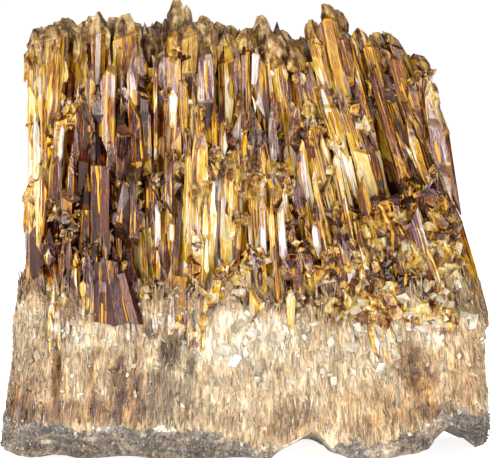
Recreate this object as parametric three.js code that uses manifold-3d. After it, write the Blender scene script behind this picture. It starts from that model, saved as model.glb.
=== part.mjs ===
// Calcite crystal cluster: a piece broken from the lining of a rock cavity, resting on its rock side.
// Clear honey to maroon calcite columns stand side by side on a pale layer of fine calcite fibres, and
// that layer grew on a thin crust of grey rock. The columns on the left stand upright, those on the
// right lean over to the left, and the front is a fracture face that steps back as it rises.
//
// Millimetres. +Z is up, +X runs along the piece, and the fracture face looks towards -Y. The origin is
// on the resting plane, under the middle of the piece.

import * as THREE from "three";
import { mergeVertices } from "three/addons/utils/BufferGeometryUtils.js";
import Module from "manifold-3d";

const wasm = await Module();
wasm.setup();

// Driving dimensions.
const HALF_WIDTH = 45;
const HALF_DEPTH = 21;
const JOINT_GAP = 0.3; // parting between two layers, so that each is a solid of its own
const COLUMN_SPACING = 4.75; // between neighbouring crystals where they leave the pale layer
const ROOT_HEIGHT = 28; // nominal top of the pale layer, where crystal positions are laid out
const CRYSTAL_FOOT = 22; // crystals start below the parting line, which then trims them
const TALLEST = 86;
const LEDGES = 3; // breaks that the fracture face makes between the pale layer and the tips
const LEDGE_DEPTH = 3.3;
const DEEPEST_RECESS = 8.6; // crystals that stand behind this run all the way up to a grown tip
const UNDERCUT_SLOPE = 0.14; // rise of the underside from the back to the front, where rock fell away
const CLEAR_OF_PIECE = 120; // reach of the cutting solids beyond the piece
const SMALLEST_FLAT = 0.15; // flats and slots smaller than this are left out of the crystal mass

// Outlines as [height, x] or [x, height] pairs. Between two pairs a value runs straight.
const LEFT_EDGE = [
  [0, -43.6], [3, -45], [10, -44.4], [20, -43.2], [28, -42.4], [40, -41.4], [44, -41], [66, -41.3],
  [90, -40.8],
];
const RIGHT_EDGE = [
  [0, 44], [6, 45], [12, 44.6], [29, 44], [33, 42.8], [35, 40.8], [44, 38.8], [52, 38], [60, 37.4],
  [68, 36], [72, 33.8], [77, 28.4], [80, 20], [90, 14],
];
const CRYSTAL_TOPS = [
  [-42, 76.6], [-36, 79.4], [-30, 79.6], [-20, 79.4], [-8, 79.4], [3, 79.4], [8, 76], [12, 75.8], [17, 78.4],
  [22, 77.2], [28, 75.5], [33, 72], [36, 65], [38, 54],
];
const CRUST_TOP = [
  [-50, 7.2], [-36, 7.2], [-28, 6], [-12, 6.4], [-3, 4.6], [2, 2.6], [9, 2.2], [15, 2.6], [20, 3.2],
  [26, 3.8], [31, 5.2], [34, 8.4], [37, 9], [42, 8.6], [50, 9],
];
const PALE_TOP = [
  [-50, 27.5], [-40, 28.5], [-30, 27], [-22, 29.5], [-12, 27.5], [-4, 30.5], [4, 27], [12, 26.5], [18, 25],
  [24, 27.5], [31, 30.5], [37, 28], [50, 23.5],
];
// Underside at the front, from the left end to the right end. A notch is broken out at x 6 to 16,
// and the right end overhangs beyond x 33, with a small foot at x 42.
const FRONT_FOOT = [
  [-60, 6], [-44.9, 3.5], [-43.2, 3.2], [-40, 1.7], [-38, 1.3], [-35.4, 2.1], [-32.4, 1.9], [-29, 0.9],
  [-25.6, 1.4], [-21.1, 1.8], [-18.3, 1.3], [-14.4, 0.9], [-9.3, 0.6], [-5.2, 1.3], [-0.4, 1.4], [4.6, 0.9],
  [5.9, 2.4], [11.2, 5.3], [12.1, 6.2], [15.8, 2.4], [18.7, 1.5], [19.9, 0.4], [24.2, 0.3], [26.8, 1.4],
  [30.6, 2], [33.2, 3], [34.1, 4.4], [34.1, 7.6], [35.5, 7.9], [37.2, 7], [41.3, 5.6], [41.6, 3.3],
  [42.2, 3], [43.9, 3.9], [44.3, 6.5], [45.2, 10], [60, 12],
];
// Lean of the crystals by where they are rooted, as [x, degrees], positive towards +X.
const LEAN = [[-42, 1.5], [-20, 0.5], [0, 0], [22, -14], [44, -18], [60, -20]];

// Crystals that stand out from the rest, with the place of each tip, its radius and its length.
const LANDMARKS = [
  { tip: [-12.4, -6, 84], radius: 2.7, lean: 0, length: 34, tipLength: 7 },
  { tip: [-10.4, -10.5, 79], radius: 2.8, lean: 1, length: 13, tipLength: 2.4 },
  { tip: [14.6, -5, 82.8], radius: 2.5, lean: -17, length: 40, tipLength: 6 },
  { tip: [12, -8, 80], radius: 2.1, lean: -14, length: 36, tipLength: 3.5 },
  { tip: [26, -5, 77.6], radius: 2.5, lean: -18, length: 28, tipLength: 5 },
  { tip: [31.2, -6, 73.6], radius: 2.3, lean: -16, length: 17, tipLength: 1.6 },
  { tip: [-34.8, -12.5, 78.4], radius: 3, lean: 2, length: 20, tipLength: 2.2 },
  { tip: [20.6, -12.6, 59], radius: 2.9, lean: -15, length: 24, tipLength: 0 },
  { tip: [24.4, -13.4, 50], radius: 3.1, lean: -17, length: 12, tipLength: 0 },
  { tip: [36.5, -9, 47.5], radius: 2.4, lean: -16, length: 25, tipLength: 0 },
  { tip: [39.8, -12, 35.5], radius: 2.4, lean: -9, length: 13, tipLength: 0 },
];

// A repeatable number from 0 to 1 for a pair of whole numbers.
function chance(n, k) {
  const s = Math.sin(n * 12.9898 + k * 78.233) * 43758.5453;
  return s - Math.floor(s);
}

function spread(n, k, reach) {
  return (2 * chance(n, k) - 1) * reach;
}

// The value at x of a list of [x, value] pairs, straight between pairs and level past the ends.
function along(pairs, x) {
  if (x <= pairs[0][0]) return pairs[0][1];
  for (let i = 1; i < pairs.length; i++) {
    const [x0, v0] = pairs[i - 1];
    const [x1, v1] = pairs[i];
    if (x < x1) return v0 + ((v1 - v0) * (x - x0)) / (x1 - x0);
  }
  return pairs.at(-1)[1];
}

function solidOf(geometry) {
  const bare = new THREE.BufferGeometry().setAttribute("position", geometry.getAttribute("position"));
  bare.setIndex(geometry.getIndex());
  const merged = mergeVertices(bare, 1e-4);
  return new wasm.Manifold(
    new wasm.Mesh({
      numProp: 3,
      vertProperties: merged.getAttribute("position").array,
      triVerts: new Uint32Array(merged.getIndex().array),
    }),
  );
}

// A closed skin over rings of points. Each end is closed by a fan to its own point.
function loft(rings, lowPoint, highPoint) {
  const count = rings[0].length;
  const points = [...rings.flat(), lowPoint, highPoint];
  const low = points.length - 2;
  const high = points.length - 1;
  const top = (rings.length - 1) * count;
  const faces = [];
  for (let i = 0; i < count; i++) {
    const next = (i + 1) % count;
    faces.push(low, next, i);
    for (let a = 0; a < top; a += count) {
      const b = a + count;
      faces.push(a + i, a + next, b + next, a + i, b + next, b + i);
    }
    faces.push(high, top + i, top + next);
  }
  const geometry = new THREE.BufferGeometry();
  geometry.setAttribute("position", new THREE.BufferAttribute(new Float32Array(points.flat()), 3));
  return geometry.setIndex(faces);
}

// A solid with this outline in the front view, as [x, z] pairs, running through the whole depth.
// slope lowers it towards the back.
function cutter(outline, slope) {
  const shape = new THREE.Shape(outline.map(([x, z]) => new THREE.Vector2(x, z)));
  const slab = new THREE.ExtrudeGeometry(shape, { depth: 2 * CLEAR_OF_PIECE, bevelEnabled: false });
  slab.rotateX(Math.PI / 2);
  slab.translate(0, CLEAR_OF_PIECE, 0);
  const lower = new THREE.Matrix4().set(1, 0, 0, 0, 0, 1, 0, 0, 0, -slope, 1, -slope * HALF_DEPTH, 0, 0, 0, 1);
  return solidOf(slab.applyMatrix4(lower));
}

function above(pairs, rise) {
  const line = pairs.map(([x, z]) => [x, z + rise]);
  return cutter([...line, [line.at(-1)[0], CLEAR_OF_PIECE], [line[0][0], CLEAR_OF_PIECE]], 0);
}

function below(pairs, slope) {
  const line = [...pairs].reverse();
  return cutter([...line, [pairs[0][0], -CLEAR_OF_PIECE], [pairs.at(-1)[0], -CLEAR_OF_PIECE]], slope);
}

// Five or six unequal corners round a crystal's axis, as unit-radius offsets.
function corners(id) {
  const turn = chance(id, 1) * Math.PI;
  const count = chance(id, 15) < 0.3 ? 6 : 5;
  return Array.from({ length: count }, (_, k) => {
    const angle = turn + (k * 2 * Math.PI) / count + spread(id, 10 + k, 0.22);
    const reach = 1 + spread(id, 20 + k, 0.16);
    return [Math.cos(angle) * reach, Math.sin(angle) * reach];
  });
}

// Cleaved calcite ends in three flats that meet in one point. This is the fall from that point.
function cleavageDrop(corner, turn) {
  const facing = [0, 1, 2].map((j) => {
    const a = turn + (j * 2 * Math.PI) / 3;
    return corner[0] * Math.cos(a) + corner[1] * Math.sin(a);
  });
  return Math.max(...facing);
}

// One crystal from zLow to zHigh. tipLength above 0 gives a grown point, and 0 a cleaved end.
function crystal({ id, foot, leanX, leanY, radius, zLow, zHigh, tipLength }) {
  const offsets = corners(id);
  const turn = chance(id, 2) * Math.PI;
  const slope = 0.6 + 0.5 * chance(id, 3);
  const drop = (c) => slope * radius * cleavageDrop(c, turn);
  const at = (c, scale, z) => [
    foot[0] + Math.tan(leanX) * (z - ROOT_HEIGHT) + c[0] * radius * scale,
    foot[1] + Math.tan(leanY) * (z - ROOT_HEIGHT) + c[1] * radius * scale,
    z,
  ];
  const ring = (scale, heightOf) => offsets.map((c) => at(c, scale, heightOf(c)));
  const bottom = ring(0.94, (c) => zLow + drop(c));
  const lowPoint = at([0, 0], 1, zLow);
  if (tipLength > 0) {
    const aside = [spread(id, 4, 0.3), spread(id, 5, 0.3)];
    const shoulder = ring(1, (c) => zHigh - tipLength + aside[0] * c[0] * radius * 2);
    return loft([bottom, shoulder], lowPoint, at(aside, 1, zHigh));
  }
  return loft([bottom, ring(1, (c) => zHigh - drop(c))], lowPoint, at([0, 0], 1, zHigh));
}

// How far behind the front the fracture face lies at a height, for the crystal with this number.
// It steps back at each ledge, and a quarter of the crystals hang out again over the ledge below them.
function frontRecess(id, x, z) {
  let recess = 0.6 * Math.sin(x * 0.31) + spread(id, 30, 0.8);
  for (let j = 0; j < LEDGES; j++) {
    const ledge = 36 + 14 * j + 5 * Math.sin(x * 0.13 + 2.1 * j) + spread(id, 32 + j, 3);
    if (z > ledge) recess += LEDGE_DEPTH;
    const over = z - ledge - 3 * chance(id, 36 + j);
    if (chance(id, 40 + j) < 0.25 && over > 0 && over < 9 + 12 * chance(id, 44 + j)) recess -= LEDGE_DEPTH;
  }
  return Math.min(Math.max(recess, 0.2), DEEPEST_RECESS);
}

// The stretches of a crystal's axis that lie inside the piece, as [low, high] heights.
function stretches({ id, foot, leanX, leanY, radius }) {
  const isInside = (z) => {
    const x = foot[0] + Math.tan(leanX) * (z - ROOT_HEIGHT);
    const y = foot[1] + Math.tan(leanY) * (z - ROOT_HEIGHT);
    const backRecess = Math.max(0.2, 1 + 0.04 * (z - ROOT_HEIGHT) + spread(id, 31, 1.6));
    return (
      x - 0.86 * radius > along(LEFT_EDGE, z) &&
      x + 0.86 * radius < along(RIGHT_EDGE, z) &&
      y - radius > frontRecess(id, x, z) - HALF_DEPTH &&
      y + radius < HALF_DEPTH - backRecess
    );
  };
  const found = [];
  let start = null;
  for (let z = CRYSTAL_FOOT; z <= TALLEST; z++) {
    const inside = z < TALLEST && isInside(z);
    if (inside && start === null) start = z;
    if (!inside && start !== null) {
      found.push([start, z]);
      start = null;
    }
  }
  return found.filter(([low, high]) => high - low > (low === CRYSTAL_FOOT ? 8 : 6));
}

// Every crystal of the cluster, in staggered rows from the front to the back.
function crystalList() {
  const list = [];
  const rowStep = COLUMN_SPACING * 0.87;
  const rows = Math.floor((2 * HALF_DEPTH - 2) / rowStep);
  const perRow = Math.ceil(104 / COLUMN_SPACING);
  for (let row = 0; row < rows; row++) {
    for (let i = 0; i < perRow; i++) {
      const id = row * 100 + i;
      const foot = [
        -HALF_WIDTH + 4.4 + (i + (row % 2) / 2) * COLUMN_SPACING + spread(id, 6, 0.9),
        -HALF_DEPTH + 3.4 + row * rowStep + spread(id, 7, 0.8),
      ];
      const leanX = THREE.MathUtils.degToRad(along(LEAN, foot[0]) + spread(id, 8, 1.6));
      const leanY = THREE.MathUtils.degToRad(spread(id, 9, 1.2));
      const radius = COLUMN_SPACING * (0.55 + 0.15 * chance(id, 12));
      const one = { id, foot, leanX, leanY, radius };
      for (const [low, high] of stretches(one)) {
        const topX = foot[0] + Math.tan(leanX) * (76 - ROOT_HEIGHT);
        const grownTo = along(CRYSTAL_TOPS, topX) - 0.1 * (foot[1] + 10) + spread(id, 13, 2);
        const zHigh = Math.min(high, grownTo);
        if (zHigh - low < 6) continue;
        const tipLength = high >= grownTo ? radius * (1.1 + chance(id, 14)) : 0;
        list.push({ ...one, zLow: low, zHigh, tipLength });
      }
    }
  }
  return list;
}

function landmarkList() {
  return LANDMARKS.map(({ tip, radius, lean, length, tipLength }, i) => {
    const leanX = THREE.MathUtils.degToRad(lean);
    const foot = [tip[0] - Math.tan(leanX) * (tip[2] - ROOT_HEIGHT), tip[1]];
    return { id: 9000 + i, foot, leanX, leanY: 0, radius, zLow: tip[2] - length, zHigh: tip[2], tipLength };
  });
}

// A rounded rectangle in plan, in fractions of the half width and half depth, evenly spaced.
function planOutline(count, rounding) {
  const [w, d, r] = [HALF_WIDTH, HALF_DEPTH, rounding];
  const path = new THREE.Path();
  path.moveTo(w, 0).lineTo(w, d - r).absarc(w - r, d - r, r, 0, Math.PI / 2);
  path.absarc(r - w, d - r, r, Math.PI / 2, Math.PI).absarc(r - w, r - d, r, Math.PI, 1.5 * Math.PI);
  path.absarc(w - r, r - d, r, 1.5 * Math.PI, 2 * Math.PI).lineTo(w, 0);
  return path.getSpacedPoints(count).slice(0, count).map((p) => [p.x / w, p.y / d]);
}

// The grown-together inside of the crystal mass, which closes the slots between neighbours.
function crystalMiddle() {
  const plan = planOutline(20, 9);
  const ring = (z) => {
    const rise = (z - ROOT_HEIGHT) / 50;
    const front = 5 + LEDGES * LEDGE_DEPTH * rise - HALF_DEPTH;
    const back = HALF_DEPTH - 4 - 2 * rise;
    const left = along(LEFT_EDGE, z) + 3;
    const right = along(RIGHT_EDGE, z) - 3;
    return plan.map(([u, v]) => [
      (left + right + u * (right - left)) / 2,
      (front + back + v * (back - front)) / 2,
      z,
    ]);
  };
  return solidOf(loft([CRYSTAL_FOOT, 36, 50, 66].map(ring), [0, 0, CRYSTAL_FOOT], [0, 0, 67]));
}

// The largest body of a solid, without the crumbs and pockets that joining leaves.
function largest(solid) {
  return solid.decompose().sort((a, b) => b.volume() - a.volume())[0];
}

function crystalMass() {
  const solids = [...crystalList(), ...landmarkList()].map((one) => solidOf(crystal(one)));
  const mass = wasm.Manifold.union([crystalMiddle(), ...solids]).intersect(above(PALE_TOP, JOINT_GAP));
  return largest(largest(mass).simplify(SMALLEST_FLAT));
}

// Rock and pale layer as one block with fluted, lumpy sides, before they are parted.
function lowerBlock() {
  const plan = planOutline(68, 7);
  const ring = (z, inset, i) =>
    plan.map(([u, v], k) => {
      const flute = 0.5 * chance(k, 70) + 1.3 * chance(k, 71) * chance(Math.floor(k / 3), 72);
      const depthIn = inset + flute + 0.9 * chance(k, 80 + i);
      const half = u < 0 ? -along(LEFT_EDGE, z) : along(RIGHT_EDGE, z);
      return [
        u * (half - (Math.abs(v) < 0.8 ? 0.3 : 0.6) * depthIn),
        v * (HALF_DEPTH - depthIn),
        z === 0 ? 0 : z + spread(k, 60 + i, 1.1),
      ];
    });
  const rings = [0, 2.4, 6.5, 12, 18, 25, 35].map((z, i) => ring(z, z === 0 ? 1.6 : 0.12 * i, i));
  return solidOf(loft(rings, [0, 0, 0], [0, 0, 35]));
}

// A solid stretched a little along X and Y so that its sides reach the driving sizes.
function broughtToSize(solid) {
  const { min, max } = solid.boundingBox();
  const wide = (2 * HALF_WIDTH) / (max[0] - min[0]);
  const deep = (2 * HALF_DEPTH) / (max[1] - min[1]);
  const middle = [(min[0] + max[0]) / 2, (min[1] + max[1]) / 2];
  return solid.translate([-middle[0], -middle[1], 0]).scale([wide, deep, 1]);
}

function meshOf(name, solid, color, roughness) {
  const { vertProperties, triVerts } = solid.getMesh();
  const geometry = new THREE.BufferGeometry();
  geometry.setAttribute("position", new THREE.BufferAttribute(new Float32Array(vertProperties), 3));
  geometry.setIndex(new THREE.BufferAttribute(new Uint32Array(triVerts), 1));
  const mesh = new THREE.Mesh(geometry, new THREE.MeshStandardMaterial({ color, roughness, metalness: 0 }));
  mesh.name = name;
  return mesh;
}

const block = broughtToSize(lowerBlock().subtract(below(FRONT_FOOT, UNDERCUT_SLOPE)));
const crust = largest(block.intersect(below(CRUST_TOP, 0)));
const pale = largest(block.intersect(above(CRUST_TOP, JOINT_GAP)).intersect(below(PALE_TOP, 0)));

const cluster = new THREE.Group();
cluster.add(meshOf("rock_crust", crust, 0x7d776c, 0.95));
cluster.add(meshOf("fibrous_base", pale, 0xdcc49a, 0.6));
cluster.add(meshOf("crystal_columns", crystalMass(), 0xa8701f, 0.15));

export default cluster;
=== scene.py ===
# %% [markdown]
# # A calcite crystal cluster
# This file dresses one broken hand specimen: clear honey to maroon calcite columns on a pale fibrous
# layer, over a thin crust of grey rock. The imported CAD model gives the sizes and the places. Here each of
# its three solids is replaced by a finer one of the same form, because the real surface is hundreds of
# small flat mirrors, and those mirrors are what the eye takes for crystal.
# All lengths below are in millimetres until a mesh is made.

# %% Load the frame
import math

import bpy
import numpy as np
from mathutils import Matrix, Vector


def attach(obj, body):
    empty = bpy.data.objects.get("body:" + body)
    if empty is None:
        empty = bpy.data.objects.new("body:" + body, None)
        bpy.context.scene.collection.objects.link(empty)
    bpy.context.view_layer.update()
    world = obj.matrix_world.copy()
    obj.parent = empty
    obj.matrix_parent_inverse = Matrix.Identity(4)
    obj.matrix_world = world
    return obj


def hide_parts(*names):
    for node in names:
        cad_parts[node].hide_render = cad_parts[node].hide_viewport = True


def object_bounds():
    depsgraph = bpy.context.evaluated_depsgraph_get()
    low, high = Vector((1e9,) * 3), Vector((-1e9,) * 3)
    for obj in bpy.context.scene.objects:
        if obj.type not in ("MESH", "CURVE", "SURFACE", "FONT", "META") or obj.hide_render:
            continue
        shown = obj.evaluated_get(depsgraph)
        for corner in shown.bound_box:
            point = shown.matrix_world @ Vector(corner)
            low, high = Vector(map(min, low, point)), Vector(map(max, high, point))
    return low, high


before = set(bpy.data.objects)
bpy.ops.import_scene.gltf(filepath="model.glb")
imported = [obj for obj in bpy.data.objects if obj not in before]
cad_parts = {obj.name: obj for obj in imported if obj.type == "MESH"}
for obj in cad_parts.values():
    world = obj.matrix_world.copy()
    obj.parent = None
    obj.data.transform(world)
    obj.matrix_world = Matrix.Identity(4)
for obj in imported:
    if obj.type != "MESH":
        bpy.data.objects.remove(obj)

cad_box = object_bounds()
print("CAD nodes:", sorted(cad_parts))

# %% [markdown]
# ## Camera
# The specimen is looked at square on and a little from above. A long lens from well back keeps the
# columns parallel, which is how a tall mineral is usually shown. Everything later is judged through this
# camera, so it is made first. The focal length is to the sensor's width as the distance is to the width
# that the camera takes in. Places and distances are in metres here, as the scene has them.

# %% Make the camera
PIECE_MIDDLE = (0.0, 0.0, 0.0411)
CAMERA_RISE = math.radians(4)
CAMERA_AWAY = 0.70
VIEW_WIDTH = 0.090748
SENSOR_WIDTH = 36.0

camera_data = bpy.data.cameras.new("camera")
camera_data.sensor_width = SENSOR_WIDTH
camera_data.lens = SENSOR_WIDTH * CAMERA_AWAY / VIEW_WIDTH
camera = bpy.data.objects.new("camera", camera_data)
camera.location = (
    PIECE_MIDDLE[0],
    PIECE_MIDDLE[1] - CAMERA_AWAY * math.cos(CAMERA_RISE),
    PIECE_MIDDLE[2] + CAMERA_AWAY * math.sin(CAMERA_RISE),
)
camera.rotation_euler = (math.pi / 2 - CAMERA_RISE, 0, 0)
bpy.context.scene.collection.objects.link(camera)
bpy.context.scene.camera = camera
print("lens:", round(camera_data.lens, 1), "mm")

# %% [markdown]
# ## Chance and profiles
# Everything random here comes from one repeatable hash, the same one that the CAD part uses, so each main
# column stands exactly where its solid stands. A thing is known by its number n, and k picks one of the
# many separate chances that it has. Profiles are lists of pairs, read with straight lines between them.

# %% A repeatable random number, and a profile read at a place
# Each kind of thing counts from its own number, so that no two kinds share their chances.
LANDMARKS_FROM, SHOWN_FROM, LUMPS_FROM, SPLIT_FROM, CAPS_FROM = 9000, 9200, 9600, 20000, 40000
SPLINTERS_FROM, FIBRES_FROM, RIM_FROM, RUBBLE_FROM, STUBS_FROM = 70000, 80000, 90000, 150000, 180000
CRUMBS_FROM, NEEDLES_FROM, GRAINS_FROM = 200000, 300000, 500000


def chance(n, k):
    """A number from 0 to 1: the fraction of sin(12.9898 n + 78.233 k) times 43758.5453."""
    s = np.sin(np.asarray(n, float) * 12.9898 + np.asarray(k, float) * 78.233) * 43758.5453
    return s - np.floor(s)


def spread(n, k, reach):
    """The same number carried to the range from minus reach to plus reach."""
    return (2 * chance(n, k) - 1) * reach


def along(pairs, x):
    """The value at x, straight between the pairs and level past the ends."""
    return np.interp(x, pairs[:, 0], pairs[:, 1])


print("first chances:", chance(np.arange(3), 1).round(3))

# %% [markdown]
# ## The outline of the specimen
# A broken stone has no simple form, so its outline is a few given profiles, the same as in the CAD part:
# how far it reaches to the left and right at each height, how high the crystals, the pale layer and the rock
# reach at each place across, how high its broken front edge hangs over the table, and how far the columns
# lean. The front of the columns is a fracture that steps back at three ledges.

# %% Sizes and profiles
HALF_WIDTH, HALF_DEPTH = (round(1000 * float(side), 1) for side in cad_box[1][:2])
ROOT_HEIGHT = 28.0  # a column's place and lean are given at this height
CRYSTAL_FOOT, TALLEST = 22, 86  # no column starts lower or ends higher
COLUMN_SPACING = 4.75
LEDGES, LEDGE_DEPTH, DEEPEST_RECESS = 3, 3.3, 8.6
UNDERCUT_SLOPE = 0.14

# Pairs of (height, x).
LEFT_EDGE = np.array([
    (0, -43.6), (3, -45), (10, -44.4), (20, -43.2), (28, -42.4), (40, -41.4), (44, -41), (66, -41.3),
    (90, -40.8)])
RIGHT_EDGE = np.array([
    (0, 44), (6, 45), (12, 44.6), (29, 44), (33, 42.8), (35, 40.8), (44, 38.8), (52, 38), (60, 37.4),
    (68, 36), (72, 33.8), (77, 28.4), (80, 20), (90, 14)])
# Pairs of (x, height).
CRYSTAL_TOPS = np.array([
    (-42, 76.6), (-36, 79.4), (-30, 79.6), (-20, 79.4), (-8, 79.4), (3, 79.4), (8, 76), (12, 75.8),
    (17, 78.4), (22, 77.2), (28, 75.5), (33, 72), (36, 65), (38, 54)])
CRUST_TOP = np.array([
    (-50, 7.2), (-36, 7.2), (-28, 6), (-12, 6.4), (-3, 4.6), (2, 2.6), (9, 2.2), (15, 2.6), (20, 3.2),
    (26, 3.8), (31, 5.2), (34, 8.4), (37, 9), (42, 8.6), (50, 9)])
PALE_TOP = np.array([
    (-50, 27.5), (-40, 28.5), (-30, 27), (-22, 29.5), (-12, 27.5), (-4, 30.5), (4, 27), (12, 26.5),
    (18, 25), (24, 27.5), (31, 30.5), (37, 28), (50, 23.5)])
FRONT_FOOT = np.array([
    (-60, 6), (-44.9, 3.5), (-43.2, 3.2), (-40, 1.7), (-38, 1.3), (-35.4, 2.1), (-32.4, 1.9), (-29, 0.9),
    (-25.6, 1.4), (-21.1, 1.8), (-18.3, 1.3), (-14.4, 0.9), (-9.3, 0.6), (-5.2, 1.3), (-0.4, 1.4),
    (4.6, 0.9), (5.9, 2.4), (11.2, 5.3), (12.1, 6.2), (15.8, 2.4), (18.7, 1.5), (19.9, 0.4), (24.2, 0.3),
    (26.8, 1.4), (30.6, 2), (33.2, 3), (34.1, 4.4), (34.1, 7.6), (35.5, 7.9), (37.2, 7), (41.3, 5.6),
    (41.6, 3.3), (42.2, 3), (43.9, 3.9), (44.3, 6.5), (45.2, 10), (60, 12)])
# Pairs of (x, lean in degrees).
LEAN = np.array([
    (-42, 1.5), (-20, 0.5), (0, 0), (22, -14), (44, -18), (60, -20)])
print("half width and half depth:", HALF_WIDTH, HALF_DEPTH, "mm")

# %% [markdown]
# ## From arrays to a mesh
# A mesh is made from whole arrays: one block of corner points, one block of faces. Each face also carries
# its nature, four numbers that its material reads. On crystal they are its tone, the strength of its
# streaks, its dullness and its share of painted lilac reflection. On the two lower layers the second number
# is its warmth, and the last two aren't read. Each corner carries its run, the millimetres across and up
# that the streaks follow, and its side: how far across its flat it lies, from 0 to 1, and how wide that
# flat is. The painted highlight at the rim of a flat is drawn from its side.

# %% Make a piece
FAR_FROM_EDGES = (0.5, 50.0)  # the middle of a flat so wide that its edges don't matter


def make_piece(name, points, faces, nature, run, side=None):
    """A mesh object from (n, 3) points in millimetres and an (m, 3) array of triangle corners. nature is
    (m, 4), four values for each triangle; run and side are (m, 3, 2), a pair for each of its corners."""
    mesh = bpy.data.meshes.new(name)
    mesh.vertices.add(len(points))
    mesh.vertices.foreach_set("co", (np.asarray(points) * 0.001).astype(np.float32).ravel())
    mesh.loops.add(faces.size)
    mesh.loops.foreach_set("vertex_index", faces.astype(np.int32).ravel())
    mesh.polygons.add(len(faces))
    mesh.polygons.foreach_set("loop_start", np.arange(0, faces.size, 3, dtype=np.int32))
    mesh.update(calc_edges=True)
    mesh.validate()
    mesh.shade_flat()
    layer = mesh.color_attributes.new("nature", "FLOAT_COLOR", "CORNER")
    layer.data.foreach_set("color", np.repeat(nature, 3, axis=0).astype(np.float32).ravel())
    if side is None:
        side = np.tile(FAR_FROM_EDGES, (faces.size, 1))
    for layer_name, pairs in (("run", run), ("side", side)):
        mesh.uv_layers.new(name=layer_name).data.foreach_set("uv", np.asarray(pairs, np.float32).ravel())
    piece = bpy.data.objects.new(name, mesh)
    bpy.context.scene.collection.objects.link(piece)
    print(name + ":", len(faces), "triangles")
    return piece


def rows_of(*values):
    """The values side by side, as the rows of one array. A single number counts for every row."""
    return np.stack(np.broadcast_arrays(*values), axis=1)


def run_up(points, faces, by_depth, shift=0.0):
    """A run that goes straight up: across is x plus by_depth times y, plus a shift, and up is the height."""
    x, y, z = np.moveaxis(points[faces], -1, 0)
    return np.stack([x + by_depth * y + shift, z], axis=-1)


# %% [markdown]
# ## Colour clouds
# Calcite with iron in it runs from water white through honey to a brown that is almost black. One scale
# from dark to light holds all those colours, and each facet is given a place on the scale, its tone.
# The colour grew in clouds, so the tone depends on where the facet is. It also depends on chance, because
# each facet sends another part of the inside to the eye.

# %% Clouds in the crystal
# Darker or lighter crystal, as (x, height, half width, half height, change of tone).
CLOUDS = [
    (-25, 52, 8, 19, -0.26), (-18.8, 64, 4, 12, -0.16), (-33, 38, 9, 8, -0.24), (-23, 32, 5, 6, -0.34),
    (4.3, 61, 4.5, 8, -0.24), (24.6, 67, 6, 9, -0.16), (30, 50, 7, 8, -0.16), (21, 43, 3.5, 5, -0.2),
    (10, 37, 4, 6, -0.14), (-38, 28, 4, 3, -0.15), (27, 33, 3, 4, -0.3), (-9, 49, 7, 18, 0.05),
    (12, 68, 5, 10, 0.04), (-38.5, 56, 2.5, 16, 0.2), (-34, 69, 3, 5, 0.12), (-6, 44, 7, 9, 0.2),
    (3, 50, 5, 6, 0.16), (17, 54, 5, 8, 0.1), (-3, 33, 20, 4, 0.1), (33, 35, 8, 9, 0.06),
    (-33, 31, 8, 3, 0.14), (12, 51, 3, 4, 0.2), (11.5, 63, 2.4, 3.2, 0.25), (17, 80, 5, 4, -0.15),
    (29, 76, 6, 4, -0.3)]


def cloud_tone(clouds, x, z):
    """Change of tone at a place. Each cloud adds 1.2 times its change times 1.6 (1 - d squared), held to
    0 .. 1, where d is the distance from its middle, counted in half widths and half heights."""
    change = np.zeros(np.shape(x))
    for cx, cz, half_w, half_h, amount in clouds:
        d_squared = ((x - cx) / half_w) ** 2 + ((z - cz) / half_h) ** 2
        change = change + 1.2 * amount * np.clip(1.6 * (1 - d_squared), 0, 1)
    return change


print("clouds in the crystal:", len(CLOUDS))

# %% [markdown]
# ## The face of fracture
# The columns stand in staggered rows and each is broken where the fracture face crosses it. The rules are
# those of the CAD part, so every column keeps its place and its broken height.

# %% Ledges, and how far back the broken columns stand
def ledge_height(x, j):
    """Ledge j runs across the front as a slow wave, 14 mm above the one below it."""
    return 36 + 14 * j + 5 * np.sin(x * 0.13 + 2.1 * j)


def front_recess(number, x, z):
    """How far behind the front a column may begin: a slow wave, one step back at each ledge, and a quarter
    of the columns hanging out again for 9 to 21 mm above a ledge."""
    recess = 0.6 * np.sin(x * 0.31) + spread(number, 30, 0.8)
    for j in range(LEDGES):
        ledge = ledge_height(x, j) + spread(number, 32 + j, 3)
        recess = recess + LEDGE_DEPTH * (z > ledge)
        over = z - ledge - 3 * chance(number, 36 + j)
        hangs = (chance(number, 40 + j) < 0.25) & (over > 0) & (over < 9 + 12 * chance(number, 44 + j))
        recess = recess - LEDGE_DEPTH * hangs
    return np.clip(recess, 0.2, DEEPEST_RECESS)


print("heights of the ledges at the middle:", [round(float(ledge_height(0, j)), 1) for j in range(LEDGES)])

# %% [markdown]
# ## The main columns
# A column is found by walking up each possible place one millimetre at a time. It lasts as long as it
# stays inside the outline, behind the fracture and below the height to which the crystals grew. Only
# stretches of more than 6 mm count, or 8 mm at the foot. A column that reaches its full height gets a
# grown tip.

# %% Every place where a column could stand
NUMBER, FOOT_X, FOOT_Y, LEAN_X, LEAN_Y, RADIUS, LOW, HIGH, TIP = range(9)  # what a row of numbers holds
ROW_STEP = 0.87 * COLUMN_SPACING
ROWS = int((2 * HALF_DEPTH - 2) / ROW_STEP)
STRIP_WIDTH = 104  # the specimen's width and room for the lean
PLACES_PER_ROW = math.ceil(STRIP_WIDTH / COLUMN_SPACING)


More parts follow.
